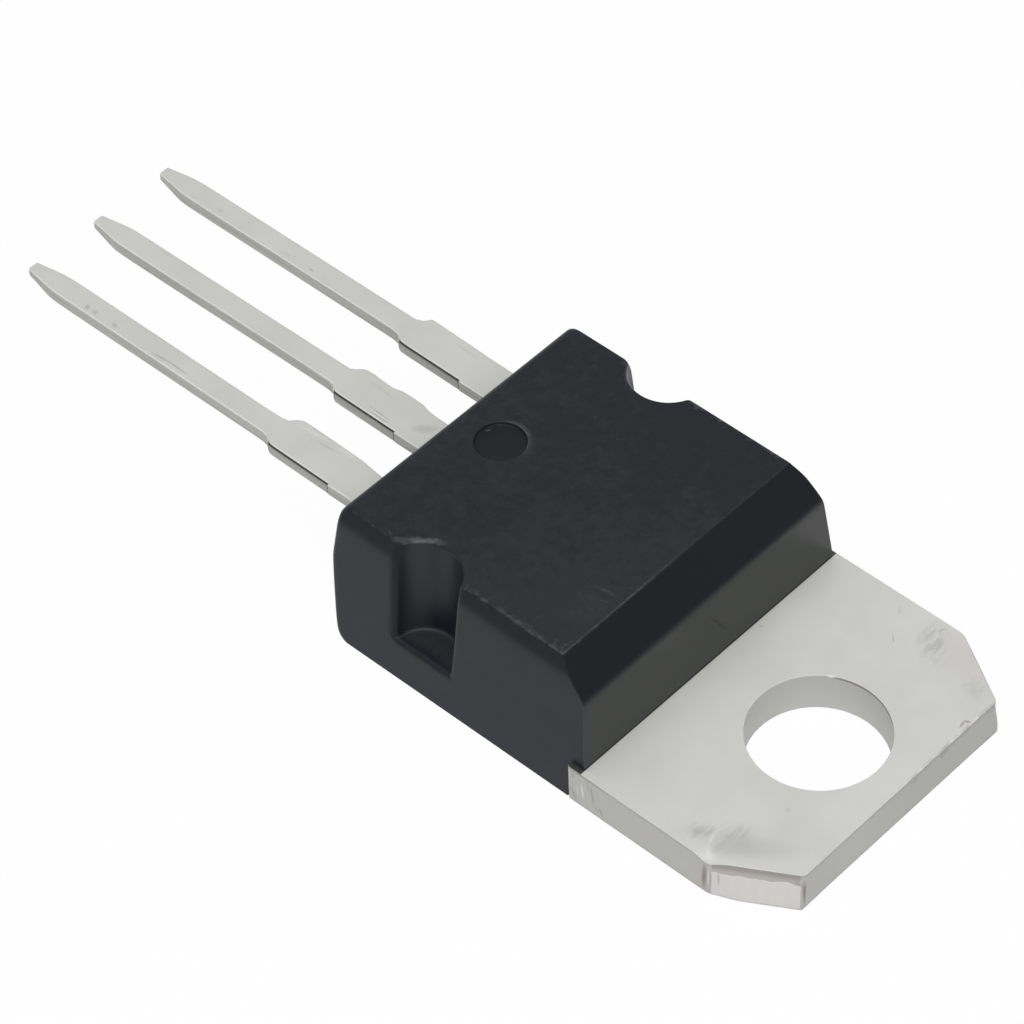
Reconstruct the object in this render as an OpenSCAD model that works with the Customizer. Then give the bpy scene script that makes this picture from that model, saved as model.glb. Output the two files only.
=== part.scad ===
// Three-lead voltage regulator in a moulded package with a metal mounting tab.
// The origin is the mounting hole's centre on the back plane. +Z points out of the marking face,
// +Y from the leads towards the tab's free end, +X across, so the input lead is on the -X side.

/* [Tab] */
// Width of the tab
tab_w = 10.12; // [9.6:0.02:10.6]
// Thickness of the tab and of the plate inside the body
tab_t = 1.27; // [1.1:0.01:1.4]
// Diameter of the mounting hole
hole_d = 3.84; // [3.4:0.02:4.1]
// Hole centre to the tab's free end
hole_to_end = 2.77; // [2.6:0.01:3]
// Free end to the body's front face
tab_exposed = 6.4; // [6.1:0.05:6.8]
// Cut corner, measured across the tab
corner_w = 1.25; // [0.8:0.05:1.6]
// Cut corner, measured along the tab
corner_l = 2.1; // [1.4:0.05:2.5]
// Length of full-width tab that the body's front overlaps
tab_bite = 0.48; // [0.3:0.02:0.7]

/* [Plate inside the body] */
// Width of the plate where its back shows
plate_back_w = 8.2; // [7.4:0.1:8.4]
// Width of the flange that holds the plate in the moulding
plate_flange_w = 8.7; // [8.5:0.1:9]
// Height of the flange's underside above the back
flange_z = 0.6; // [0.4:0.05:0.8]
// Moulding behind the plate, up to the parting line
plate_end_gap = 1.7; // [1.6:0.05:2]
// Moulding between a side recess and the plate
lock_wall = 0.35; // [0.25:0.05:0.5]
// Width of the sealing groove across the plate
groove_w = 0.4; // [0.2:0.05:0.6]
// Depth of the sealing groove
groove_depth = 0.15; // [0.05:0.05:0.3]
// Body's front face to the middle of the sealing groove
groove_from_front = 1; // [0.8:0.05:1.2]

/* [Moulded body] */
// Width at the back
body_w = 10.1; // [9.8:0.02:10.6]
// Length from the front face to the parting line at the lead end
body_l = 9.06; // [8.9:0.02:9.4]
// Overall height from the back
body_h = 4.5; // [4.3:0.05:4.8]
// Draft of the two sides
side_draft = 6.3; // [4:0.1:8]
// Draft of the lead end, above and below the parting line
end_draft = 6.3; // [4:0.1:8]
// Draft of the front face
front_draft = 4.5; // [2:0.1:6]
// Height of the front bevel
bevel_h = 1; // [0.7:0.05:1.2]
// Depth of the front bevel
bevel_l = 0.97; // [0.7:0.01:1.2]
// Width of the narrow bevel along each side of the top
band_w = 0.21; // [0.1:0.01:0.3]
// Height of the narrow bevel along each side of the top
band_h = 0.42; // [0.2:0.02:0.6]
// Plan radius on the two lead-end corners
corner_r = 0.7; // [0.6:0.05:1]
// Radius of the top edge at the lead end
end_edge_r = 0.3; // [0.1:0.05:0.5]

/* [Mould marks] */
// Middle of the body to the centre of a side recess
recess_x = 4.82; // [4.7:0.01:4.9]
// Parting line to the centre of a side recess
recess_from_end = 3.36; // [3.1:0.02:3.6]
// Diameter of a side recess at the top
recess_d = 2.24; // [2:0.02:2.4]
// Diameter of a side recess at its floor
recess_floor_d = 1.92; // [1.6:0.02:2]
// Height of a side recess's floor above the back
recess_floor_z = 1.34; // [1:0.02:1.6]
// Diameter of the ejector mark in the top
mark_d = 1.42; // [1:0.02:1.8]
// Depth of the ejector mark
mark_depth = 0.09; // [0.04:0.01:0.2]
// Parting line to the centre of the ejector mark
mark_from_end = 1.74; // [1.4:0.02:2.2]

/* [Leads] */
// Spacing between neighbouring leads
pitch = 2.54; // [2.4:0.01:2.7]
// Thickness of a lead
lead_t = 0.4; // [0.36:0.01:0.5]
// Height of a lead's underside above the back
lead_z = 2.6; // [2.45:0.01:2.7]
// Width of a lead
lead_w = 0.68; // [0.61:0.01:0.88]
// Parting line to the tip of a lead
lead_l = 13.58; // [13:0.02:14]
// Width of a lead beside the cut tie bar
tie_w = 1.27; // [1.14:0.01:1.7]
// Parting line to the near end of the tie-bar stretch
tie_start = 1.52; // [1.3:0.02:1.8]
// Parting line to the far end of the tie-bar stretch
tie_end = 3.8; // [3.5:0.02:3.93]
// Width of a lead where it leaves the body
neck_w = 1.1; // [0.9:0.02:1.14]
// Length of the neck before it widens
neck_l = 0.66; // [0.4:0.02:1]
// Length of the shoulder between the wide and the narrow width
shoulder_l = 0.34; // [0.2:0.02:0.6]
// Width of a lead at its tip
tip_w = 0.34; // [0.2:0.02:0.5]
// Length of the taper in plan at the tip
tip_l = 1.2; // [0.8:0.05:1.6]
// Thickness of a lead at its tip
tip_t = 0.26; // [0.2:0.02:0.34]
// Length over which the underside rises to the tip
tip_rise_l = 0.9; // [0.5:0.05:1.4]

/* [Lead ends inside the body] */
// Width of a bond post
post_w = 2.4; // [2:0.05:2.6]
// Length of a bond post along the lead
post_l = 1.25; // [1.1:0.05:1.4]
// Parting line to the outer edge of a bond post
post_inset = 0.5; // [0.4:0.02:0.7]
// How far a bond post's middle lies outside its lead's middle
post_shift = 0.1; // [0:0.02:0.2]
// Slope of the centre lead where it steps up from the plate
step_angle = 60; // [55:1:75]
// Inner radius of the two bends in the centre lead
bend_r = 0.15; // [0.1:0.01:0.25]

/* [Die and bond wires] */
// Width of the die
die_w = 2.9; // [2.4:0.05:3.2]
// Length of the die
die_l = 2.4; // [2:0.05:2.6]
// Thickness of the die
die_t = 0.28; // [0.2:0.01:0.4]
// Body's front face to the middle of the die
die_from_front = 3.7; // [3.4:0.05:4]
// Thickness of the solder under the die
solder_t = 0.06; // [0.03:0.01:0.1]
// Width of the solder that shows around the die
solder_rim = 0.1; // [0.05:0.01:0.2]
// Diameter of a bond wire
wire_d = 0.25; // [0.2:0.01:0.3]
// Half of the angle that a bond wire's arc turns through
wire_arc = 40; // [30:1:48]

/* [Hidden] */
$fn = 64;

// Colours, as red, green and blue
moulding_colour = [0.2, 0.2, 0.21];
tin_colour = [0.78, 0.78, 0.76];
silicon_colour = [0.33, 0.35, 0.4];
solder_colour = [0.6, 0.6, 0.62];
wire_colour = [0.87, 0.87, 0.88];

// Number of flats that stand for the rounded top edge at the lead end
edge_flats = 8;
// Surplus length of a cutting shape, so that it passes clean through what it cuts
cut = 0.5;
// Number of flats that stand for each bend of the centre lead
bend_flats = 6;
// Length by which the centre lead's step shares metal with the plate and with the straight blade
seam = 0.1;

// Places along Y
front_y = hole_to_end - tab_exposed;
tab_root_y = front_y - tab_bite;
end_y = front_y - body_l;
plate_end_y = end_y + plate_end_gap;
recess_y = end_y + recess_from_end;
mark_y = end_y + mark_from_end;
groove_y = front_y - groove_from_front;
die_y = front_y - die_from_front;
post_y = end_y + post_inset + post_l / 2;
tip_y = end_y - lead_l;

// Heights
lead_mid_z = lead_z + lead_t / 2;
lead_top_z = lead_z + lead_t;
bevel_z = body_h - bevel_h;
die_z = tab_t + solder_t;
die_top_z = die_z + die_t;

// Outline of the body from the side, as Y and Z
bevel_y = front_y - (bevel_z - tab_t) * tan(front_draft);
end_top_y = end_y + (body_h - lead_mid_z) * tan(end_draft);
end_back_y = end_y + lead_mid_z * tan(end_draft);
end_edge_y = end_top_y + end_edge_r / tan(45 + end_draft / 2);
end_edge = [
    for (i = [0:edge_flats])
        let (a = 90 + i / edge_flats * (90 - end_draft))
            [end_edge_y + end_edge_r * cos(a), body_h - end_edge_r + end_edge_r * sin(a)]
];
side_view = concat(
    [[tab_root_y, 0], [tab_root_y, tab_t], [front_y, tab_t], [bevel_y, bevel_z]],
    [[bevel_y - bevel_l, body_h]], end_edge, [[end_y, lead_mid_z], [end_back_y, 0]]
);

// Outline of the body from the lead end, as X and Z
band_z = body_h - band_h;
band_x = body_w / 2 - band_z * tan(side_draft);
end_view = [
    [body_w / 2, 0], [band_x, band_z], [band_x - band_w, body_h],
    [band_w - band_x, body_h], [-band_x, band_z], [-body_w / 2, 0]
];

// Centre lead's step up from the plate to the height of the leads. Each point of its middle line
// is Y, Z and the slope there, through one bend up and one bend back to level.
bend_mid_r = bend_r + lead_t / 2;
step_low_z = tab_t - lead_t / 2;
ramp_rise = lead_mid_z - step_low_z - 2 * bend_mid_r * (1 - cos(step_angle));
step_run = 2 * bend_mid_r * sin(step_angle) + ramp_rise / tan(step_angle);
step_end_y = plate_end_y - step_run;
bend_slopes = [for (i = [0:bend_flats]) i / bend_flats * step_angle];
step_line = concat(
    [for (a = bend_slopes)
        [plate_end_y - bend_mid_r * sin(a), step_low_z + bend_mid_r * (1 - cos(a)), a]],
    [for (i = [bend_flats:-1:0])
        let (a = bend_slopes[i])
            [step_end_y + bend_mid_r * sin(a), lead_mid_z - bend_mid_r * (1 - cos(a)), a]]
);

// Bond wire ends: each foot is a flattened stretch of wire
foot_l = 2.4 * wire_d;
foot_w = 1.5 * wire_d;
foot_h = 0.7 * wire_d;
die_pad_x = 0.26 * die_w;
near_pad_y = die_y - 0.34 * die_l;
far_pad_y = die_y + 0.3 * die_l;
post_mid_x = pitch + post_shift;
post_pad_x = post_w / 4;
ground_pad_x = plate_back_w / 2 - 1;
ground_pad_y = die_y + 0.5 * die_l;

// Extrudes an outline given as Y and Z by width w, centred on X = 0
module across(w) {
    rotate([90, 0, 90]) translate([0, 0, -w / 2]) linear_extrude(w) children();
}

// Epoxy block before anything is cut from it
module body_block() {
    intersection() {
        across(body_w + 2 * cut) polygon(side_view);
        translate([0, tab_root_y + tab_bite + cut, 0]) rotate([90, 0, 0])
            linear_extrude(body_l + 2 * cut) polygon(end_view);
        linear_extrude(body_h) rounded_end_plan();
    }
}

// Plan of the body with its two lead-end corners rounded
module rounded_end_plan() {
    translate([-body_w / 2, end_y + corner_r]) square([body_w, body_l - corner_r]);
    translate([corner_r - body_w / 2, end_y]) square([body_w - 2 * corner_r, body_l]);
    for (side = [-1, 1])
        translate([side * (body_w / 2 - corner_r), end_y + corner_r]) circle(r = corner_r);
}

// Tapered half-round recesses in the two sides, open at the top
module side_recesses() {
    depth = body_h - recess_floor_z;
    widen = (recess_d - recess_floor_d) / 2 / depth;
    for (side = [-1, 1])
        translate([side * recess_x, recess_y, recess_floor_z])
            cylinder(h = depth + cut, r1 = recess_floor_d / 2, r2 = recess_d / 2 + widen * cut);
}

// Round mark left by the ejector pin
module ejector_mark() {
    translate([0, mark_y, body_h - mark_depth]) cylinder(h = mark_depth + cut, d = mark_d);
}

// Flat tab with two cut corners, at full width as far as the body's front overlaps it
module tab_plate() {
    half = tab_w / 2;
    linear_extrude(tab_t) polygon([
        [half, tab_root_y], [half, hole_to_end - corner_l], [half - corner_w, hole_to_end],
        [corner_w - half, hole_to_end], [-half, hole_to_end - corner_l], [-half, tab_root_y]
    ]);
}

// Plate inside the body: a back that shows, a wider flange above it, and a notch at each recess
module inner_plate() {
    plate_l = tab_root_y - plate_end_y;
    difference() {
        union() {
            translate([-plate_back_w / 2, plate_end_y, 0]) cube([plate_back_w, plate_l, tab_t]);
            translate([-plate_flange_w / 2, plate_end_y, flange_z])
                cube([plate_flange_w, plate_l, tab_t - flange_z]);
        }
        for (side = [-1, 1])
            translate([side * recess_x, recess_y, -cut])
                cylinder(h = tab_t + 2 * cut, r = recess_d / 2 + lock_wall);
    }
}

// V-shaped groove across the plate that keeps moisture out
module sealing_groove() {
    across(tab_w + 2 * cut) polygon([
        [groove_y - groove_w / 2, tab_t], [groove_y, tab_t - groove_depth],
        [groove_y + groove_w / 2, tab_t], [groove_y, tab_t + cut]
    ]);
}

// Outline of a lead outside the body, from Y = inner_y to the tip, centred on X = 0
module blade_plan(inner_y) {
    edge = [
        [neck_w / 2, inner_y], [neck_w / 2, end_y - neck_l], [tie_w / 2, end_y - tie_start],
        [tie_w / 2, end_y - tie_end], [lead_w / 2, end_y - tie_end - shoulder_l],
        [lead_w / 2, tip_y + tip_l], [tip_w / 2, tip_y]
    ];
    last = len(edge) - 1;
    polygon(concat(edge, [for (i = [last:-1:0]) [-edge[i][0], edge[i][1]]]));
}

// Straight lead with its underside rising to a thin tip
module blade(inner_y) {
    intersection() {
        translate([0, 0, lead_z]) linear_extrude(lead_t) blade_plan(inner_y);
        across(tie_w + 2 * cut) polygon([
            [inner_y, lead_z], [inner_y, lead_top_z], [tip_y, lead_top_z],
            [tip_y, lead_top_z - tip_t], [tip_y + tip_rise_l, lead_z]
        ]);
    }
}

// Point of the step's upper side (side = 1) or lower side (side = -1) at a point of its middle line
function step_side(p, side) = [
    p[0] + side * lead_t / 2 * sin(p[2]), p[1] + side * lead_t / 2 * cos(p[2])
];

// Centre lead's step, sharing a little metal with the plate and with the straight blade
module step_up() {
    last = len(step_line) - 1;
    across(neck_w) polygon(concat(
        [[plate_end_y + seam, tab_t]], [for (p = step_line) step_side(p, 1)],
        [[step_end_y - seam, lead_top_z], [step_end_y - seam, lead_z]],
        [for (i = [last:-1:0]) step_side(step_line[i], -1)], [[plate_end_y + seam, tab_t - lead_t]]
    ));
}

// Tab, inner plate and centre lead, which are one strip of two thicknesses
module tab_strip() {
    difference() {
        union() {
            tab_plate();
            inner_plate();
            step_up();
            blade(step_end_y);
        }
        translate([0, 0, -cut]) cylinder(h = tab_t + 2 * cut, d = hole_d);
        sealing_groove();
    }
}

// Outer lead on the given side, with the bond post at its inner end
module outer_lead(side) {
    translate([side * pitch, 0, 0]) {
        blade(post_y);
        translate([side * post_shift - post_w / 2, post_y - post_l / 2, lead_z])
            cube([post_w, post_l, lead_t]);
    }
}

// Silicon die
module die_block() {
    translate([-die_w / 2, die_y - die_l / 2, die_z]) cube([die_w, die_l, die_t]);
}

// Bed of solder under the die, a little larger all round
module solder_bed() {
    w = die_w + 2 * solder_rim;
    l = die_l + 2 * solder_rim;
    translate([-w / 2, die_y - l / 2, tab_t]) cube([w, l, solder_t]);
}

// Flattened end of a bond wire, resting on the surface at height z
module wire_foot(p, heading) {
    translate([p[0], p[1], p[2]]) rotate([0, 0, heading])
        translate([-foot_l / 2, -foot_w / 2, 0]) cube([foot_l, foot_w, foot_h]);
}

// Bond wire from pad a to pad b: one arc of a circle in the upright plane through both
module bond_wire(a, b) {
    run = norm([b[0] - a[0], b[1] - a[1]]);
    rise = b[2] - a[2];
    heading = atan2(b[1] - a[1], b[0] - a[0]);
    r = norm([run, rise]) / 2 / sin(wire_arc);
    leave = atan2(rise, run) + wire_arc;
    wire_foot(a, heading);
    wire_foot(b, heading);
    translate([a[0], a[1], a[2] + wire_d / 2]) rotate([0, 0, heading])
        translate([r * sin(leave), 0, -r * cos(leave)]) rotate([90, 0, 0])
            rotate([0, 0, leave + 90 - 2 * wire_arc])
                rotate_extrude(angle = 2 * wire_arc) translate([r, 0]) circle(d = wire_d, $fn = 24);
}

// Bond wires by name, with a on the die and b on the post or the plate
module input_wire() {
    bond_wire([-die_pad_x, near_pad_y, die_top_z], [-post_mid_x, post_y, lead_top_z]);
}

module output_wire() {
    bond_wire([die_pad_x, near_pad_y, die_top_z], [post_mid_x - post_pad_x, post_y, lead_top_z]);
}

module sense_wire() {
    bond_wire([1.4 * die_pad_x, far_pad_y, die_top_z], [post_mid_x + post_pad_x, post_y, lead_top_z]);
}

module ground_wire() {
    bond_wire([-die_pad_x, far_pad_y, die_top_z], [-ground_pad_x, ground_pad_y, tab_t]);
}

// The nodes

module moulded_body() {
    color(moulding_colour) difference() {
        body_block();
        side_recesses();
        ejector_mark();
        tab_strip();
        outer_lead(-1);
        outer_lead(1);
        die_block();
        solder_bed();
        input_wire();
        output_wire();
        sense_wire();
        ground_wire();
    }
}

module tab_with_ground_lead() { color(tin_colour) tab_strip(); }
module input_lead() { color(tin_colour) outer_lead(-1); }
module output_lead() { color(tin_colour) outer_lead(1); }
module regulator_die() { color(silicon_colour) die_block(); }
module die_solder() { color(solder_colour) solder_bed(); }
module input_bond_wire() { color(wire_colour) input_wire(); }
module output_bond_wire() { color(wire_colour) output_wire(); }
module sense_bond_wire() { color(wire_colour) sense_wire(); }
module ground_bond_wire() { color(wire_colour) ground_wire(); }

moulded_body();
tab_with_ground_lead();
input_lead();
output_lead();
regulator_die();
die_solder();
input_bond_wire();
output_bond_wire();
sense_bond_wire();
ground_bond_wire();
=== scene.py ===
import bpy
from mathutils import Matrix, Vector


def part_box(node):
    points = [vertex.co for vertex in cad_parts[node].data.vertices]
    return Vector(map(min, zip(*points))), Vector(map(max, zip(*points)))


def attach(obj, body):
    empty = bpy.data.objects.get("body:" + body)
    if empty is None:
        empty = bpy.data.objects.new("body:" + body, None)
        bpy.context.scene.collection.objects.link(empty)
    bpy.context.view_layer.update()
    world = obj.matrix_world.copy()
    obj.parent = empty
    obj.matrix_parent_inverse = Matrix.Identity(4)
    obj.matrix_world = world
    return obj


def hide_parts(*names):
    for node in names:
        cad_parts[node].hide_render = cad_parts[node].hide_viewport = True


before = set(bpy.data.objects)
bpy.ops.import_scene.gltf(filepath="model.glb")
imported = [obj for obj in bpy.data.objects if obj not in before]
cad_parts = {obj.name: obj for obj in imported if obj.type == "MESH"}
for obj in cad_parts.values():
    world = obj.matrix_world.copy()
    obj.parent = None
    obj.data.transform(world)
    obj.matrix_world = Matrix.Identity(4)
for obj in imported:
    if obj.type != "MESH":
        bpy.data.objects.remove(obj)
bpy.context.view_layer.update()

import math

import bpy
import numpy as np
from mathutils import Matrix, Vector

mm = 0.001
print("frame loaded:", len(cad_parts), "nodes")


# Lowest and highest corner of a node, in millimetres
def boxOf(node):
    low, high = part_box(node)
    return np.array(low) / mm, np.array(high) / mm


bodyLow, bodyHigh = boxOf("moulded_body")
tabLow, tabHigh = boxOf("tab_with_ground_lead")
leadLow, leadHigh = boxOf("input_lead")


# ---------- grids ----------

# Steps from 0 to 1, n of them without the last: closer together near 0 and 1 by tanh(k(2t - 1))
def bothEnds(n, k=1.8):
    t = np.arange(n) / n
    return (np.tanh(k * (2 * t - 1)) / np.tanh(k) + 1) / 2


# Steps closer together near 1, by tanh(kt) / tanh(k), or near 0 where flip is true
def oneEnd(n, k=1.8, flip=False):
    t = np.arange(n) / n
    return 1 - np.tanh(k * (1 - t)) / np.tanh(k) if flip else np.tanh(k * t) / np.tanh(k)


# Straight stretch p + u(q - p), one row of points for each row of p and q
def stretch(p, q, u):
    return p[:, None, :] * (1 - u[None, :, None]) + q[:, None, :] * u[None, :, None]


# Arc (cx + r cos a, cy + r sin a), with a going from start to end
def arcOf(cx, cy, r, start, end, u):
    a = start[:, None] + (end - start)[:, None] * u[None, :]
    x = cx[:, None] + r[:, None] * np.cos(a)
    y = cy[:, None] + r[:, None] * np.sin(a)
    return np.stack([x, y], -1)


# Closed loop from its +X half: the half, then the half mirrored in X and walked back
def mirrored(half):
    back = half[:, -2:0:-1].copy()
    back[..., 0] *= -1
    return np.concatenate([half, back], 1)


# Rounds a sharp grid: every point becomes a quarter of both neighbours and half of itself, several times over
def soften(points, times, rows=True, closeRows=False, cols=True):
    p = points
    for _ in range(times):
        if cols:
            p = (np.roll(p, 1, 1) + 2 * p + np.roll(p, -1, 1)) / 4
        if rows and closeRows:
            p = (np.roll(p, 1, 0) + 2 * p + np.roll(p, -1, 0)) / 4
        elif rows:
            inner = (p[:-2] + 2 * p[1:-1] + p[2:]) / 4
            p = np.concatenate([p[:1], inner, p[-1:]])
    return p


# Quads between neighbouring points of a grid, point (r, c) being number r * cols + c
def gridQuads(rows, cols, closeRows):
    r = np.arange(rows if closeRows else rows - 1)[:, None]
    c = np.arange(cols)[None, :]
    up = (r + 1) % rows
    on = (c + 1) % cols
    return np.stack([r * cols + c, r * cols + on, up * cols + on, up * cols + c], -1).reshape(-1, 4)


# Mesh of a grid whose columns close on themselves. Its first and last rows meet, or each closes in a pole
def shellMesh(name, points, layers, closeRows=False, sharp=40):
    rows, cols = points.shape[:2]
    verts = points.reshape(-1, 3)
    faces = gridQuads(rows, cols, closeRows).tolist()
    layers = {key: value.reshape(-1) for key, value in layers.items()}
    if not closeRows:
        c = np.arange(cols)
        on = (c + 1) % cols
        first, last = rows * cols, rows * cols + 1
        verts = np.vstack([verts, points[0].mean(0), points[-1].mean(0)])
        faces += np.stack([on, c, np.full(cols, first)], -1).tolist()
        top = (rows - 1) * cols
        faces += np.stack([top + c, top + on, np.full(cols, last)], -1).tolist()
        layers = {key: np.append(value, [value[0], value[top]]) for key, value in layers.items()}
    mesh = bpy.data.meshes.new(name)
    mesh.from_pydata((verts * mm).tolist(), [], faces)
    for key, value in layers.items():
        mesh.attributes.new(key, "FLOAT", "POINT").data.foreach_set("value", value.astype(np.float32))
    mesh.shade_smooth()
    mesh.set_sharp_from_angle(angle=math.radians(sharp))
    mesh.validate()
    piece = bpy.data.objects.new(name, mesh)
    bpy.context.scene.collection.objects.link(piece)
    return piece


# A piece takes its material, its body and the nodes it stands for; the slot argument is not used
def dress(piece, material, slot, *nodes):
    piece.data.materials.append(material)
    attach(piece, "root")
    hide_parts(*nodes)
    print(piece.name, len(piece.data.vertices), "points")


# Soft step from 0 to 1 between a and b
def smooth(x, a, b):
    t = np.clip((x - a) / (b - a), 0, 1)
    return t * t * (3 - 2 * t)


# ---------- material nodes ----------

class Shade:
    # A material's node tree with short calls for its nodes
    def __init__(self, name, **sockets):
        self.material = bpy.data.materials.new(name)
        self.material.use_nodes = True
        self.tree = self.material.node_tree
        self.skin = self.tree.nodes["Principled BSDF"]
        for key, value in sockets.items():
            self.skin.inputs[key.replace("_", " ")].default_value = value
        self.place = self.make("ShaderNodeTexCoord").outputs["Object"]

    def make(self, kind, **settings):
        node = self.tree.nodes.new(kind)
        for key, value in settings.items():
            setattr(node, key, value)
        return node

    def feed(self, socket, value):
        if isinstance(value, bpy.types.NodeSocket):
            self.tree.links.new(value, socket)
        else:
            socket.default_value = value

    # Number made from one to three numbers
    def sum(self, operation, *values, clamp=False):
        node = self.make("ShaderNodeMath", operation=operation, use_clamp=clamp)
        for socket, value in zip(node.inputs, values):
            self.feed(socket, value)
        return node.outputs[0]

    # Value carried from the range a..b to c..d
    def ramp(self, value, a, b, c=0.0, d=1.0, kind="SMOOTHSTEP"):
        node = self.make("ShaderNodeMapRange", interpolation_type=kind)
        for socket, v in zip(node.inputs, (value, a, b, c, d)):
            self.feed(socket, v)
        return node.outputs[0]

    # Object coordinates counted from a centre in millimetres, turned by angles in degrees and divided by sizes
    def local(self, centre, size, turn=(0, 0, 0)):
        node = self.make("ShaderNodeMapping", vector_type="TEXTURE")
        self.feed(node.inputs["Vector"], self.place)
        node.inputs["Location"].default_value = tuple(c * mm for c in centre)
        node.inputs["Rotation"].default_value = tuple(math.radians(t) for t in turn)
        node.inputs["Scale"].default_value = tuple(v * mm for v in size)
        return node.outputs[0]

    # Noise of a given grain in millimetres, stretched along axes that are turned about Z
    def noise(self, grain, detail=2.0, rough=0.5, stretch=(1, 1, 1), turn=0, at=(0, 0, 0)):
        node = self.make("ShaderNodeTexNoise")
        self.feed(node.inputs["Vector"], self.local(at, [grain * v for v in stretch], (0, 0, turn)))
        node.inputs["Scale"].default_value = 1.0
        node.inputs["Detail"].default_value = detail
        node.inputs["Roughness"].default_value = rough
        return node.outputs["Fac"]

    def layer(self, name):
        return self.make("ShaderNodeAttribute", attribute_name=name).outputs["Fac"]

    # One coordinate, 0 for X to 2 for Z, in metres
    def along(self, axis):
        node = self.make("ShaderNodeSeparateXYZ")
        self.feed(node.inputs[0], self.place)
        return node.outputs[axis]

    # 1 between two places along an axis in millimetres, with soft ends; shaken moves both ends, in metres
    def between(self, axis, low, high, soft, shaken=None):
        value = self.along(axis)
        if shaken is not None:
            value = self.sum("ADD", value, shaken)
        rise = self.ramp(value, (low - soft) * mm, (low + soft) * mm)
        fall = self.ramp(value, (high + soft) * mm, (high - soft) * mm)
        return self.sum("MULTIPLY", rise, fall)

    # Colour between two, by a number
    def blend(self, amount, a, b, kind="MIX"):
        node = self.make("ShaderNodeMix", data_type="RGBA", blend_type=kind)
        self.feed(node.inputs["Factor"], amount)
        self.feed(node.inputs["A"], a if isinstance(a, bpy.types.NodeSocket) else (*a, 1.0))
        self.feed(node.inputs["B"], b if isinstance(b, bpy.types.NodeSocket) else (*b, 1.0))
        return node.outputs["Result"]

    # 1 within a round or long patch about a centre, fading to 0 over its soft rim
    def patch(self, centre, size, turn=(0, 0, 0), soft=0.5):
        far = self.make("ShaderNodeVectorMath", operation="LENGTH")
        self.feed(far.inputs[0], self.local(centre, size, turn))
        return self.ramp(far.outputs["Value"], 1.0, 1.0 - soft)

    # Patch drawn out from one point to another, tapering at both ends
    def stroke(self, p, q, width, soft=0.8):
        line = Vector(q) - Vector(p)
        turn = line.to_track_quat("X", "Z").to_euler()
        size = (line.length / 2 + width, width, width)
        return self.patch((Vector(p) + Vector(q)) / 2, size, [math.degrees(t) for t in turn], soft)

    def bump(self, height, distance, strength=1.0, under=None):
        node = self.make("ShaderNodeBump")
        node.inputs["Strength"].default_value = strength
        node.inputs["Distance"].default_value = distance * mm
        self.feed(node.inputs["Height"], height)
        if under is not None:
            self.feed(node.inputs["Normal"], under)
        return node.outputs["Normal"]

    def finish(self, **sockets):
        for key, value in sockets.items():
            self.feed(self.skin.inputs[key.replace("_", " ")], value)
        return self.material


# ---------- moulding compound ----------

epoxy = {
    "top": ((0.0085, 0.0096, 0.0138), (0.0170, 0.0180, 0.0225)),   # darkest and lightest of the mottled top
    "side": (0.0100, 0.0115, 0.0180),
    # front and bevel are one compound: the front's lighter, warmer colour is a painted reflection of the tab, and the
    # bevel's darker colour is painted shade for the dark it reflects
    "front": (0.0450, 0.0482, 0.0462),
    "bevel": (0.0026, 0.0034, 0.0062),
    "band": (0.0040, 0.0050, 0.0085),
    # recess: painted light, lifting the shade inside the side recesses; pit: painted shade in the ejector mark, and
    # also the colour of dark scratches
    "pit": (0.0026, 0.0031, 0.0056), "recess": (0.0300, 0.0318, 0.0385),
    # The light colour below serves both rubbed marks and the lip layer's painted highlights
    "wearAndHighlight": (0.0760, 0.0812, 0.0900), "scuffed": (0.130, 0.136, 0.150),
    "roughTop": 0.55, "roughSide": 0.38, "roughFront": 0.28, "roughBevel": 0.46,
}
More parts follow.
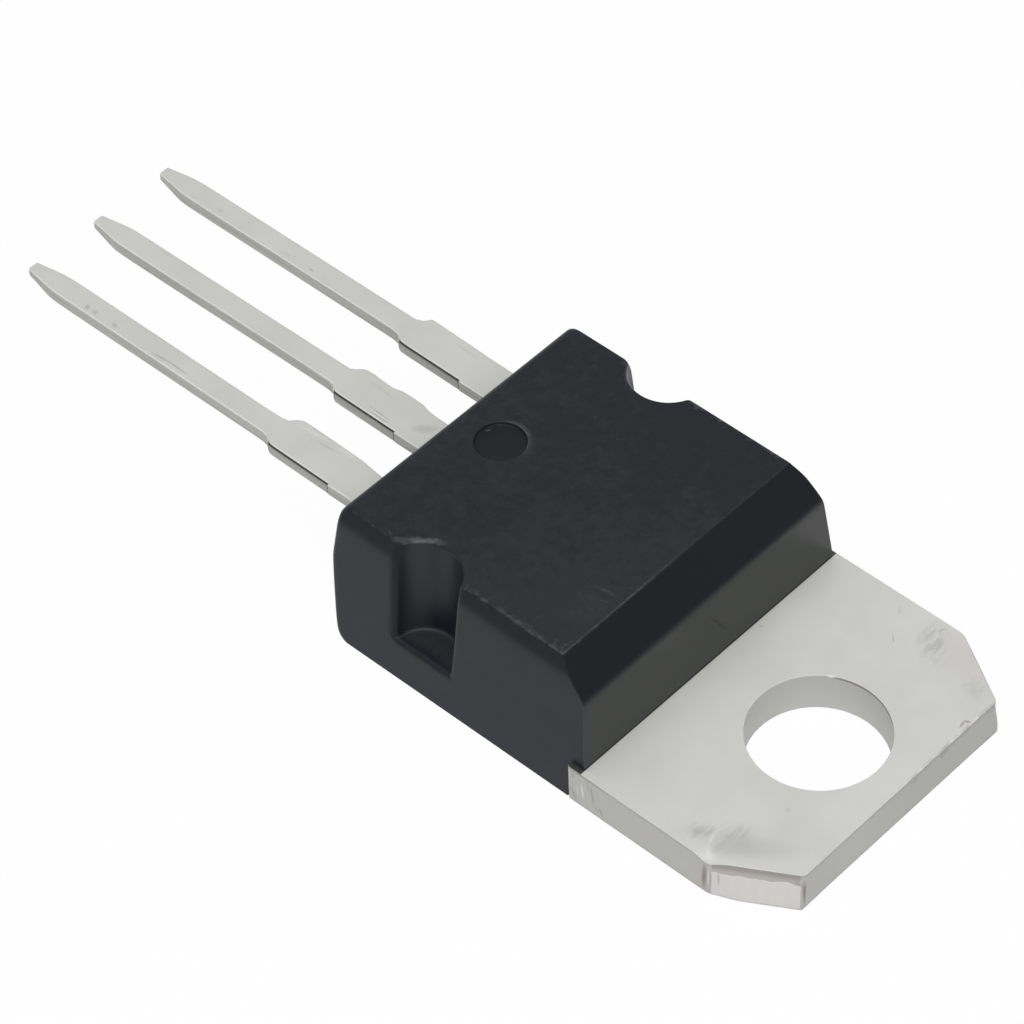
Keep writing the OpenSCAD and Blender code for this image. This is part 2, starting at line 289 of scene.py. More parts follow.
# Marks on the body: from and to, half width, and how far they go to which colour
bodyMarks = [
    ((2.15, -5.75, 4.5), (2.04, -5.00, 4.5), 0.095, 0.34, "wearAndHighlight"), ((1.66, -4.99, 4.5), (1.58, -4.95, 4.5), 0.040, 0.35, "wearAndHighlight"),
    ((2.63, -5.60, 4.5), (2.60, -5.00, 4.5), 0.450, 0.1, "wearAndHighlight"), ((2.45, -5.30, 4.5), (2.30, -5.05, 4.5), 0.040, 0.25, "wearAndHighlight"),
    ((-0.09, -11.54, 4.41), (-0.20, -11.50, 4.41), 0.045, 1, "wearAndHighlight"), ((0.03, -3.768, 3.02), (-0.73, -3.674, 1.83), 0.070, 0.6, "pit"),
    ((4.25, -4.93, 4.5), (4.22, -4.91, 4.5), 0.075, 0.65, "wearAndHighlight"), ((4.11, -4.92, 4.5), (4.09, -4.90, 4.5), 0.065, 0.6, "wearAndHighlight"),
    ((4.34, -4.90, 4.5), (4.32, -4.88, 4.5), 0.060, 0.55, "wearAndHighlight"), ((-2.05, -3.69, 1.05), (-2.20, -3.68, 0.70), 0.05, 0.3, "pit"),
    ((3.30, -5.60, 4.5), (2.90, -4.96, 4.5), 0.350, 0.08, "wearAndHighlight"), ((3.86, -9.63, 4.5), (3.84, -9.08, 4.5), 0.060, 0.2, "wearAndHighlight"), ((4.18, -4.88, 4.5), (4.18, -4.86, 4.5), 0.040, 0.9, "pit"),
    ((3.97, -4.90, 4.5), (3.95, -4.89, 4.5), 0.040, 0.4, "wearAndHighlight"), ((4.15, -5.21, 4.5), (4.12, -5.19, 4.5), 0.040, 0.35, "wearAndHighlight"),
    ((4.30, -7.05, 4.5), (4.36, -6.62, 4.5), 0.090, 0.4, "wearAndHighlight"), ((4.34, -7.84, 4.5), (4.36, -7.66, 4.5), 0.080, 0.35, "wearAndHighlight"),
    ((4.26, -6.30, 4.5), (4.30, -5.80, 4.5), 0.110, 0.22, "wearAndHighlight"), ((4.20, -11.02, 4.5), (4.30, -10.78, 4.5), 0.060, 0.3, "wearAndHighlight"),
    ((4.38, -10.68, 4.5), (4.17, -10.43, 4.5), 0.130, 0.6, "wearAndHighlight"), ((4.14, -10.42, 4.5), (3.85, -10.03, 4.5), 0.140, 0.55, "scuffed"),
    ((3.88, -10.06, 4.5), (3.62, -9.74, 4.5), 0.130, 0.7, "scuffed"), ((4.04, -10.20, 4.5), (3.86, -10.00, 4.5), 0.060, 0.7, "scuffed"),
]


def mouldingCompound():
    s = Shade("matteEpoxy", IOR=1.5, Specular_IOR_Level=0.22)
    top, bevel, front, pit = (s.layer(k) for k in ("top", "bevel", "front", "pit"))
    recess, wear, lip, band = (s.layer(k) for k in ("recess", "wear", "lip", "band"))
    cloud = s.noise(1.3, 3, 0.55)
    blotch = s.noise(0.34, 3, 0.62, at=(5, 2, 1))
    grain = s.noise(0.065, 2, 0.6)
    mottle = s.sum("ADD", s.sum("MULTIPLY", cloud, 0.4), s.sum("MULTIPLY", blotch, 0.6))
    # The top is lighter towards its near front corner
    mottle = s.sum("ADD", mottle, s.sum("MULTIPLY", s.patch((4.0, -4.9, 4.5), (7.0, 5.0, 5.0), (0, 0, 0), 1.0), 0.21))
    mottle = s.sum("SUBTRACT", mottle, s.sum("MULTIPLY", s.patch((-4.4, -7.6, 4.5), (5.0, 5.5, 5.0), (0, 0, 0), 1.0), 0.15))
    mottle = s.ramp(mottle, 0.38, 0.68)
    colour = s.blend(s.ramp(cloud, 0.3, 0.7), epoxy["side"], [v * 1.25 for v in epoxy["side"]])
    colour = s.blend(top, colour, s.blend(mottle, *epoxy["top"]))
    # Painted reflection of the tab on the front face and painted shade on the bevel, as lighter and darker colours of
    # the same compound; their roughness is their own finish
    colour = s.blend(front, colour, epoxy["front"])
    colour = s.blend(band, colour, epoxy["band"])
    colour = s.blend(bevel, colour, epoxy["bevel"])
    # Painted shade inside the ejector mark
    colour = s.blend(pit, colour, epoxy["pit"])
    # Painted light: the recesses are lighter, lifting the shade inside them
    colour = s.blend(recess, colour, epoxy["recess"])
    speck = s.sum("ADD", s.sum("MULTIPLY", s.noise(0.13, 2, 0.5, at=(3, 1, 7)), 0.6),
                  s.sum("MULTIPLY", s.noise(0.045, 2, 0.6, at=(1, 4, 2)), 0.4))
    wearAndHighlight = s.sum("MULTIPLY", wear, s.ramp(s.noise(0.6, 2, 0.5, at=(7, 2, 3)), 0.38, 0.60, 0.42, 1.0))
    rubbed = s.ramp(s.sum("ADD", speck, s.sum("MULTIPLY", wearAndHighlight, 0.28)), 0.59, 0.80)
    rubbed = s.sum("MULTIPLY", rubbed, s.sum("MAXIMUM", s.sum("MULTIPLY", top, 0.45), wearAndHighlight))
    colour = s.blend(s.sum("MULTIPLY", rubbed, 0.75), colour, epoxy["wearAndHighlight"])
    # Painted highlight on the lip layer, in the same light colour as rubbed marks
    colour = s.blend(s.sum("MULTIPLY", lip, s.ramp(speck, 0.3, 0.6, 0.40, 0.80)), colour, epoxy["wearAndHighlight"])
    for start, stop, width, amount, tint in bodyMarks:
        mark = s.sum("MULTIPLY", s.stroke(start, stop, width), s.ramp(speck, 0.35, 0.55, 0.2, 1.0))
        colour = s.blend(s.sum("MULTIPLY", mark, amount), colour, epoxy[tint])
    rough = s.sum("ADD", epoxy["roughSide"], s.sum("MULTIPLY", top, epoxy["roughTop"] - epoxy["roughSide"]))
    rough = s.sum("ADD", rough, s.sum("MULTIPLY", front, epoxy["roughFront"] - epoxy["roughSide"]))
    rough = s.sum("ADD", rough, s.sum("MULTIPLY", bevel, epoxy["roughBevel"] - epoxy["roughSide"]))
    uneven = s.sum("MULTIPLY", s.ramp(grain, 0.3, 0.7, -0.04, 0.04), s.ramp(front, 0, 1, 1.0, 0.05, "LINEAR"))
    rough = s.sum("ADD", rough, uneven)
    texture = s.sum("ADD", s.sum("MULTIPLY", grain, 0.6), s.sum("MULTIPLY", blotch, 0.8))
    texture = s.sum("MULTIPLY", texture, s.ramp(top, 0, 1, 0.10, 1.0, "LINEAR"))
    texture = s.sum("MULTIPLY", texture, s.ramp(front, 0, 1, 1.0, 0.03, "LINEAR"))
    return s.finish(Base_Color=colour, Roughness=rough, Normal=s.bump(texture, 0.007))


# ---------- moulded body ----------

body = {
    "endCorner": 0.17,      # plan radius of the two lead-end corners, mm
    "endFoot": 0.20,        # how much larger it is at the foot, and the radius of the foot's edge there
    "frontCorner": 0.022,   # plan radius of the two front corners
    "frontSwell": 0.006,    # how much larger it is where the side's bevel starts
    "endEdge": 0.30,        # radius of the top edge at the lead end
    "bandLow": 4.08,        # where the narrow bevel along each side starts
    "bandIn": 0.21,         # how far that bevel goes in
    "bevelLow": 3.50,       # where the front bevel starts
    "bevelIn": 0.97,        # how far it goes in
    "frontDraft": 0.0787,   # slope of the front face, mm per mm
    "sideDraft": 0.1104,    # slope of the sides
    "tabTop": 1.27,         # height of the tab's top
    "gap": 0.05,            # dark gap over the tab under the front face
    "skirt": 0.48,          # how far the front overhangs the skirt below
    "parting": 2.80,        # height of the parting line
    "recessX": 4.82, "recessIn": 3.36, "recessLow": 0.96, "recessTop": 1.12, "recessFloor": 1.34,
    "recessRounds": (0.21, 0.14),   # radii of the recess's upright edges, towards the leads and towards the tab
    "floorRound": 0.13,             # radius of its floor's rim
    "markR": 0.71, "markDeep": 0.09, "markIn": 1.74,
    "plateX": 4.10, "plateEnd": 1.70, "notchR": 1.47,
}


# Straight line that sets off from 0 with a soft bend of width w: w log(1 + exp(t / w))
def softBreak(t, w):
    return w * np.logaddexp(0, t / w)


# Rows of the body from its underside to its top edge: each has the height of the walls, of the recess and of
# the front, the front's and the end's place along Y, and how far the recess is open
def bodyRows(b):
    frontY, endY = bodyHigh[1], bodyLow[1]
    skirtY = frontY - b["skirt"]
    top = bodyHigh[2]
    z, zr, zf, f, k, r = [], [], [], [], [], []

    def row(height, recess=None, front=None, frontAt=None, opened=1.0, radius=None):
        z.append(height)
        zr.append(height if recess is None else recess)
        zf.append(height if front is None else front)
        f.append(frontAt)
        k.append(opened)
        slope = (b["recessTop"] - b["recessLow"]) / (top - b["recessFloor"])
        r.append(b["recessLow"] + slope * (zr[-1] - b["recessFloor"]) if radius is None else radius)

    low, over = b["tabTop"], b["tabTop"] + b["gap"]
    for h in (0.0, 0.01, 0.03, 0.06, 0.10, 0.15, 0.22, 0.32, 0.5, 0.8, 1.05, 1.09, 1.13, 1.17, 1.20, 1.23, 1.26):
        row(h, front=max(h, 0.03), frontAt=skirtY, opened=0, radius=b["recessLow"])
    for h, front, along in ((1.272, over - 0.02, 0.0), (1.280, over, 0.02), (1.288, over, 0.3), (1.296, over, 0.8),
                            (1.304, over, 0.97), (1.312, over + 0.005, 1.0), (1.320, over + 0.02, 1.0)):
        row(h, front=front, frontAt=skirtY + along * b["skirt"], opened=0, radius=b["recessLow"])
    floor = b["recessFloor"]
    for h, opened, radius in ((1.33, 0, 0.9), (1.336, 0.03, 0.88), (1.342, 0.15, 0.88), (1.348, 0.5, 0.88),
                              (1.354, 0.85, 0.88), (1.360, 1, 0.88)):
        row(h, recess=floor, front=max(h, over + 0.03), frontAt=frontY, opened=opened, radius=radius)
    for h, lift, radius in ((1.38, 0.006, 0.908), (1.40, 0.024, 0.934), (1.42, 0.052, 0.952), (1.44, 0.09, 0.962)):
        row(h, recess=floor + lift, frontAt=frontY, radius=radius)
    for h in (1.55, 1.8, 2.1, 2.4, 2.6, 2.7, 2.76, 2.80, 2.84, 2.92, 3.05, 3.2, 3.30, 3.36, 3.41, 3.45, 3.48,
              3.51, 3.54, 3.57, 3.61, 3.66, 3.74, 3.84, 3.91, 3.97, 4.02, 4.06, 4.10, 4.15, 4.19):
        row(h, frontAt=frontY)
    for a in np.linspace(0, 90, 13):
        row(top - b["endEdge"] * (1 - math.sin(math.radians(a))), frontAt=frontY)
    z, zr, zf, f, k, r = (np.array(v, float) for v in (z, zr, zf, f, k, r))
    r = r + 0.05 * np.clip((zr - top + 0.07) / 0.07, 0, 1) ** 2
    bevelSlope = b["bevelIn"] / (top - b["bevelLow"]) - b["frontDraft"]
    f = np.where(z > low, f - b["frontDraft"] * (zf - low) - bevelSlope * softBreak(z - b["bevelLow"], 0.055), f)
    x = bodyHigh[0] - b["sideDraft"] * z
    x = x - (b["bandIn"] / (top - b["bandLow"]) - b["sideDraft"]) * softBreak(z - b["bandLow"], 0.07)
    # The end leans in both ways from the parting line, and below it in a soft curve t^2 / (t + 0.6)
    t = np.abs(z - b["parting"])
    e = endY + b["sideDraft"] * t * t / (t + np.where(z < b["parting"], 0.6, 0.06))
    lift = np.clip((z - top + b["endEdge"]) / b["endEdge"], 0, 1)
    e = np.where(lift > 0, endY + b["sideDraft"] * (top - b["endEdge"] - b["parting"])
                 + b["endEdge"] * (1 - np.sqrt(1 - lift * lift)), e)
    sink = np.clip(1 - z / b["endFoot"], 0, 1)
    e = e + b["endFoot"] * (1 - np.sqrt(1 - sink * sink))
    rc = b["endCorner"] + b["endFoot"] * np.clip(1 - z / 0.5, 0, 1) ** 2
    rf = b["frontCorner"] + b["frontSwell"] * np.exp(-((z - b["bandLow"]) / 0.2) ** 2)
    return dict(z=z, zr=zr, zf=zf, f=f, k=k, r=r, x=x, e=e, rc=rc, rf=rf)


cols = dict(end=26, corner=14, rear=18, recess=46, side=36, front=8, face=27)


# Half outline of the body for every row, from the middle of the lead end round the +X side to the front's middle:
# straight stretches joined by corner arcs, and the recess as an arc of radius r about (cx, cy) between two edge
# roundings of radius q, whose middles lie q inside the side and r + q from (cx, cy), or as its flat chord
def bodyHalf(b, w):
    n = len(w["z"])
    col = lambda v: np.broadcast_to(np.asarray(v, float), (n,)).copy()
    at = lambda x, y: np.stack([col(x), col(y)], -1)
    recessY = bodyLow[1] + b["recessIn"]
    rc, rf = w["rc"], w["rf"]
    off = w["x"] - b["recessX"]
    (q1, s1, b1), (q2, s2, b2) = ((q, side, np.arctan2(side, q - off)) for q, side in (
        (q, np.sqrt(np.maximum((w["r"] + q) ** 2 - (off - q) ** 2, 0.01))) for q in b["recessRounds"]))
    u = bothEnds(cols["recess"])
    flat = stretch(at(w["x"], recessY - s1), at(w["x"], recessY + s2), u)
    # The floor's rim sets in by q - sqrt(q^2 - rise^2) on its way up
    rise = np.clip((w["zr"] - b["recessFloor"]) / b["floorRound"] + 1, 0, 1)
    setIn = b["floorRound"] * (1 - np.sqrt(1 - rise * rise))
    flat[..., 0] -= setIn[:, None] * (smooth(u, 0, 0.16) * smooth(1 - u, 0, 0.08))[None, :]
    scoop = np.concatenate([
        arcOf(w["x"] - q1, recessY - s1, col(q1), col(0), b1, np.arange(10) / 10),
        arcOf(col(b["recessX"]), col(recessY), w["r"], b1 - np.pi, -b2 - np.pi, bothEnds(cols["recess"] - 17, 1.0)),
        arcOf(w["x"] - q2, recessY + s2, col(q2), -b2, col(0), np.arange(7) / 7)], 1)
    scoop = flat + w["k"][:, None, None] * (scoop - flat)
    plan = np.concatenate([
        stretch(at(0, w["e"]), at(w["x"] - rc, w["e"]), oneEnd(cols["end"])),
        arcOf(w["x"] - rc, w["e"] + rc, rc, col(-np.pi / 2), col(0), np.arange(cols["corner"]) / cols["corner"]),
        stretch(at(w["x"], w["e"] + rc), at(w["x"], recessY - s1), oneEnd(cols["rear"])),
        scoop,
        stretch(at(w["x"], recessY + s2), at(w["x"], w["f"] - rf), bothEnds(cols["side"])),
        arcOf(w["x"] - rf, w["f"] - rf, rf, col(0), col(np.pi / 2), np.arange(cols["front"]) / cols["front"]),
        stretch(at(w["x"] - rf, w["f"]), at(0, w["f"]), oneEnd(cols["face"], flip=True)),
        at(0, w["f"])[:, None, :],
    ], 1)
    names = [key for key in cols for _ in range(cols[key])] + ["face"]
    height = np.where(np.array(names)[None, :] == "recess", w["zr"][:, None], w["z"][:, None])
    frontal = np.isin(np.array(names), ("front", "face"))[None, :]
    height = np.where(frontal, w["zf"][:, None], height)
    return np.concatenate([plan, height[..., None]], -1), np.array(names)


# One ring of the same columns, walked through corner points given for each part of the half outline
def ringThrough(names, height, **corners):
    points = []
    for key in cols:
        (x0, y0), (x1, y1) = corners[key]
        u = np.linspace(0, 1, cols[key], endpoint=False)[:, None]
        points.append(np.array([[x0, y0]]) * (1 - u) + np.array([[x1, y1]]) * u)
    points.append(np.array([corners["face"][1]]))
    plan = np.concatenate(points)
    return np.concatenate([plan, np.full((len(plan), 1), height)], 1)


def mouldedBody(b):
    w = bodyRows(b)
    walls, names = bodyHalf(b, w)
    recessY = bodyLow[1] + b["recessIn"]
    endY = bodyLow[1]
    # Under the body: the edge of the opening that the plate fills, level with the plate's back
    rootY = bodyHigh[1] - b["skirt"]
    plateEndY = endY + b["plateEnd"]
    reach = math.sqrt(b["notchR"] ** 2 - (b["recessX"] - b["plateX"]) ** 2)
    px = b["plateX"] + 0.01
    plate = ringThrough(
        names, 0.0, end=((0, plateEndY), (px - 0.1, plateEndY)), corner=((px - 0.1, plateEndY), (px, plateEndY + 0.05)),
        rear=((px, plateEndY + 0.05), (px, recessY - reach)), recess=((px, recessY - reach), (px, recessY + reach)),
        side=((px, recessY + reach), (px, rootY - 0.06)), front=((px, rootY - 0.06), (px - 0.05, rootY - 0.02)),
        face=((px - 0.05, rootY - 0.02), (0, rootY - 0.02)))
    notch = names == "recess"
    bend = np.pi + np.linspace(-1, 1, cols["recess"]) * math.asin(reach / b["notchR"]) * -1
    plate[notch, 0] = b["recessX"] + b["notchR"] * np.cos(bend) + 0.01
    plate[notch, 1] = recessY + b["notchR"] * np.sin(bend)
    frontal = np.isin(names, ("front", "face"))
    plate[frontal, 2] = 0.03
    inside = plate.copy()
    inside[:, 2] = 0.3
    # Top: from its edge to a plain oblong, and on to the ejector mark
    edge = walls[-1]
    ox, oy0, oy1 = edge[:, 0].max() - 1.15, endY + 0.75, edge[:, 1].max() - 0.75
    oblong = ringThrough(
        names, edge[0, 2], end=((0, oy0), (ox - 0.1, oy0)), corner=((ox - 0.1, oy0), (ox, oy0 + 0.1)),
        rear=((ox, oy0 + 0.1), (ox, recessY - 1.0)), recess=((ox, recessY - 1.0), (ox, recessY + 1.0)),
        side=((ox, recessY + 1.0), (ox, oy1 - 0.1)), front=((ox, oy1 - 0.1), (ox - 0.1, oy1)),
        face=((ox - 0.1, oy1), (0, oy1)))
    markY = endY + b["markIn"]
    turn = np.arctan2(oblong[:, 1] - markY, oblong[:, 0])
    circle = np.stack([np.cos(turn), np.sin(turn), np.zeros(len(turn))], -1)
    hub = np.array([0, markY, edge[0, 2]])
    under = [inside, plate + [0, 0, 0.02], plate]
    inward = lambda t: edge * (1 - t) + oblong * t
    topRows = [inward(t) for t in (0.008, 0.018, 0.032, 0.055, 0.1, 0.2, 0.4, 0.7, 1.0)]
    outerMark = hub + circle * (b["markR"] + 0.04)
    topRows += [oblong * (1 - t) + outerMark * t for t in (0.2, 0.45, 0.7, 0.9, 1.0)]
    dip = [(0.025, 0), (0.012, -0.002), (0.0, -0.012), (-0.008, -0.035), (-0.014, -0.06), (-0.022, -0.08),
           (-0.04, -0.09), (-0.07, -0.09), (-0.2, -0.092), (-0.45, -0.093), (-0.65, -0.093)]
    markRows = [hub + circle * (b["markR"] + out) + [0, 0, down * b["markDeep"] / 0.09] for out, down in dip]
    half = np.concatenate([np.array(under), walls, np.array(topRows), np.array(markRows)])
    points = soften(mirrored(half), 2)
    points[0] = mirrored(half)[0]
    # Layers: where the surface is the top, the bevel, the front face, a recess (painted light) or the ejector mark
    # (painted shade), and where it is rubbed
    rows = len(half)
    nUnder, nWall, nTop = len(under), len(walls), len(topRows)
    r = np.arange(rows)[:, None] * np.ones(points.shape[1])[None, :]
    wholeNames = np.concatenate([names, names[-2:0:-1]])[None, :]
    zs, xs, ys = points[..., 2], points[..., 0], points[..., 1]
    isTop = r >= nUnder + nWall - 1
    isWall = (r >= nUnder) & (r < nUnder + nWall)
    isFace = np.isin(wholeNames, ("face", "front")) & (r < nUnder + nWall)
    up = smooth(zs, b["bevelLow"] - 0.11, b["bevelLow"] + 0.12)
    # Painted light in the recess: its lighter colour comes in over its rounded edges, and over its floor from the rim
    inRecess = smooth(np.arange(cols["recess"]), 7, 16) * smooth(cols["recess"] - np.arange(cols["recess"]), 0, 5)
    column = np.zeros(len(names))
    column[names == "recess"] = inRecess
    column = np.concatenate([column, column[-2:0:-1]])[None, :]
    opened = np.concatenate([np.zeros(nUnder), w["k"], np.zeros(rows - nUnder - nWall)])[:, None]
    pit = column * opened * (0.85 * smooth(recessY - 0.35 - ys, 0, 0.4)) * (1 - 0.4 * smooth(zs, 4.40, 4.49))
    pit = pit * (1 - 0.5 * smooth(ys, recessY + 0.2, recessY + 0.9) * (1 - smooth(zs, 2.6, 4.3)))
    onFloor = smooth(5.03 - np.abs(xs), 0, 0.22) * (1 - smooth(zs, 1.37, 1.44))
    pit = np.maximum(pit, column * np.clip(4 * opened, 0, 1) * onFloor)
    band = isWall * ~isFace * smooth(zs, b["bandLow"] - 0.08, b["bandLow"] + 0.10) * (1 - column * opened) * 0.75
    whole = np.abs(column) > 0
    band = np.maximum(band, 0.48 * whole * (1 - opened) * smooth(zs, 0.95, 1.22) * (zs < 1.37))
    # Painted shade: the side darkens towards the recess's edge at the leads' end, and over that edge's rounding
    near = np.exp(-((ys - recessY + 1.16) / 0.13) ** 2) * smooth(zs, 1.2, 1.5) * (xs * np.sign(xs) > 4.4)
    onRound = np.zeros(len(names))
    onRound[np.flatnonzero(names == "recess")[:9]] = 1
    onRound = np.concatenate([onRound, onRound[-2:0:-1]])[None, :] * opened * smooth(zs, 1.2, 1.5)
    band = np.maximum(band, np.maximum(0.7 * near, 0.95 * onRound) * isWall * ~isFace * (1 - smooth(zs, 4.42, 4.49)))
    # Ejector mark: painted shade inside it, fading on its side towards the camera
    toCamera = (xs * 0.75 + (ys - markY) * 0.66) / b["markR"]
    mark = (r >= nUnder + nWall + nTop + 2) * (1 - 0.8 * smooth(toCamera, 0.55, 0.98))
    fromEdge = np.linalg.norm(points - points[nUnder + nWall - 1][None], axis=-1)
    backArc = (wholeNames == "recess") & (ys < recessY + 0.1)
    wide = np.where(isTop, np.where(backArc, 0.26, np.where(np.isin(wholeNames, ("face", "front")), 0.07, 0.17)), 0.07)
    nearFace = 0.4 + 0.5 * smooth(xs, 0.5, 3.0)
    rub = np.exp(-(fromEdge / wide) ** 2) * np.where(np.isin(wholeNames, ("face", "front")), nearFace, 1.0)
    rub = rub * np.where(np.isin(wholeNames, ("end", "corner")), 0.35, 1.0) * smooth(zs, 4.38, 4.48)
    rub = rub * np.where(wholeNames == "rear", 0.55, 1.0)
    rub = rub * np.where(wholeNames == "recess", 0.10 + 0.75 * (1 - smooth(ys, recessY - 0.35, recessY + 0.05)), 1.0)
    rub = np.maximum(rub, 0.5 * isFace * np.exp(-((zs - b["bevelLow"] + 0.07) / 0.035) ** 2))
    # The lip layer: a light crescent on one side of the ejector mark's rim, a painted highlight, and a light line along
    # the top's front edge, stronger towards +X
    aside = np.arctan2(ys - markY, xs) - math.radians(150)
    out = np.hypot(xs, ys - markY) - b["markR"]
    lip = 1.25 * np.exp(-((out - 0.026) / 0.026) ** 2) * smooth(np.cos(aside), 0.2, 0.9) * (zs > 4.49)
    frontEdge = np.exp(-(fromEdge / 0.035) ** 2) * np.isin(wholeNames, ("face", "front")) * smooth(zs, 4.40, 4.48)
    lip = np.maximum(lip, frontEdge * (0.25 + 0.65 * smooth(xs, -1.0, 2.5)))
    layers = {"top": isTop * 1.0, "bevel": isFace * up, "front": isFace * (1 - up) * (zs > 1.2), "lip": lip,
              "pit": mark * 1.0, "recess": pit * 1.0, "wear": rub, "band": band * 1.0}
    return shellMesh("MouldedBody", points, layers)


bodyPiece = mouldedBody(body)
dress(bodyPiece, mouldingCompound(), "moulding_compound", "moulded_body")


# ---------- tinned metal ----------

tin = {
    "skin": ((0.650, 0.656, 0.624), (0.695, 0.700, 0.668)),   # darkest and lightest of the matte plating
    "sheared": (0.555, 0.552, 0.528),                         # sides cut in the press
    "burnished": (0.765, 0.752, 0.728),                       # cut corners, rubbed bright
    "rolled": (0.385, 0.355, 0.332),                          # brownish band where the metal rolled over the shear
    # grey also paints shade on the tab's end, darker towards the far corner
    "grey": (0.330, 0.328, 0.318),                            # rubbed marks
    "warm": (0.640, 0.612, 0.588),
    "brown": (0.300, 0.265, 0.235),
    "light": (0.860, 0.855, 0.830),
    "black": (0.012, 0.012, 0.012),
    "rough": 0.50,
}
# Clouds of fine rubbed lines: centre, half sizes, turn about Z, strength, colour, and how far the lines are drawn out
tabClouds = [
    ((4.42, -0.13, 1.27), (0.52, 0.40, 0.2), -47, 0.62, "grey", 4), ((3.92, 0.55, 1.27), (0.80, 0.50, 0.2), -44, 0.40, "grey", 4),
    ((4.20, 0.76, 1.27), (1.15, 0.66, 0.2), -47, 0.30, "grey", 0), ((4.00, 1.25, 1.27), (1.60, 0.50, 0.2), -52, 0.22, "grey", 0),
    ((3.30, 1.45, 1.27), (1.60, 0.95, 0.2), -50, 0.08, "grey", 0), ((-4.28, 0.33, 1.27), (1.05, 0.64, 0.2), 40, 0.62, "grey", 4),
    ((-4.55, 0.05, 1.27), (0.60, 0.60, 0.2), 0, 0.16, "grey", 2),
    ((-4.35, 1.25, 1.27), (1.45, 0.85, 0.2), 62, 0.80, "warm", 0), ((-3.78, 2.05, 1.27), (0.60, 0.45, 0.2), 62, 0.30, "grey", 2),
    ((2.46, 1.07, 1.27), (0.13, 0.11, 0.2), 0, 0.22, "grey", 0), ((-1.79, -3.46, 1.27), (0.10, 0.07, 0.2), 0, 0.30, "grey", 0),
    ((-4.60, -1.10, 1.27), (0.22, 0.10, 0.2), 30, 0.32, "grey", 2), ((5.03, 0.58, 0.60), (0.16, 0.19, 0.85), 0, 0.70, "rolled", 0),
]
# Single scratches: from, to, half width, strength and colour
tabScratches = [
    ((-3.86, -0.74, 1.27), (-3.57, -0.46, 1.27), 0.030, 0.45, "grey"), ((-2.50, 2.60, 1.27), (-2.75, 2.55, 1.27), 0.055, 0.75, "brown"),
    ((-2.75, 2.56, 1.27), (-2.81, 2.68, 1.27), 0.060, 0.75, "brown"), ((-2.58, 2.50, 1.27), (-2.66, 2.53, 1.27), 0.040, 0.35, "light"),
    ((4.93, 0.66, 1.19), (4.68, 0.28, 1.27), 0.120, 0.25, "light"), ((4.70, 0.30, 1.27), (4.19, 0.16, 1.27), 0.065, 0.36, "light"),
    ((4.22, 0.17, 1.27), (3.67, 0.31, 1.27), 0.070, 0.26, "light"), ((4.70, 0.52, 1.25), (4.35, 0.55, 1.27), 0.150, 0.22, "grey"),
    ((5.06, 0.55, 1.12), (5.06, 0.49, 0.06), 0.100, 1.0, "brown"), ((5.04, 0.73, 1.04), (5.04, 0.73, 0.25), 0.035, 0.60, "rolled"),
    ((4.92, 0.88, 1.02), (4.92, 0.90, 0.28), 0.055, 0.60, "rolled"), ((5.05, 0.66, 1.16), (5.05, 0.64, 0.10), 0.035, 0.80, "light"),
    ((4.05, 2.37, 0.88), (4.05, 2.37, 0.25), 0.030, 0.25, "rolled"), ((4.17, 2.17, 0.88), (4.17, 2.17, 0.35), 0.025, 0.20, "rolled"),
    ((3.81, 2.77, 1.18), (3.81, 2.77, 0.05), 0.090, 1.0, "brown"), ((3.93, 2.58, 1.00), (3.84, 2.73, 0.85), 0.060, 0.70, "rolled"),
    ((5.06, -3.62, 0.98), (5.06, -3.56, 0.27), 0.055, 0.85, "light"), ((5.06, -3.30, 1.18), (5.06, -3.20, 0.30), 0.050, 0.75, "grey"),
    ((5.06, -3.42, 1.18), (5.06, -3.34, 0.70), 0.035, 0.60, "grey"), ((5.06, -3.02, 0.50), (5.06, -2.90, 0.12), 0.050, 0.85, "grey"),
    ((5.06, -3.18, 0.32), (5.06, -3.02, 0.28), 0.050, 0.70, "grey"), ((5.06, -3.92, 1.12), (5.06, -3.90, 0.95), 0.060, 0.80, "grey"),
    ((5.06, -4.00, 0.55), (5.06, -3.80, 0.05), 0.100, 0.45, "grey"), ((5.06, -3.78, 0.80), (5.06, -3.72, 0.30), 0.060, 0.30, "light"),
    ((-1.62, -1.06, 1.25), (-1.71, -0.90, 1.25), 0.060, 1.0, "light"), ((-5.05, 0.70, 1.26), (-3.83, 2.76, 1.26), 0.060, 0.85, "grey"),
    ((-4.52, 0.33, 1.27), (-4.62, 0.10, 1.27), 0.040, 0.35, "light"), ((-4.62, 0.10, 1.27), (-4.95, 0.22, 1.27), 0.035, 0.45, "grey"),
]
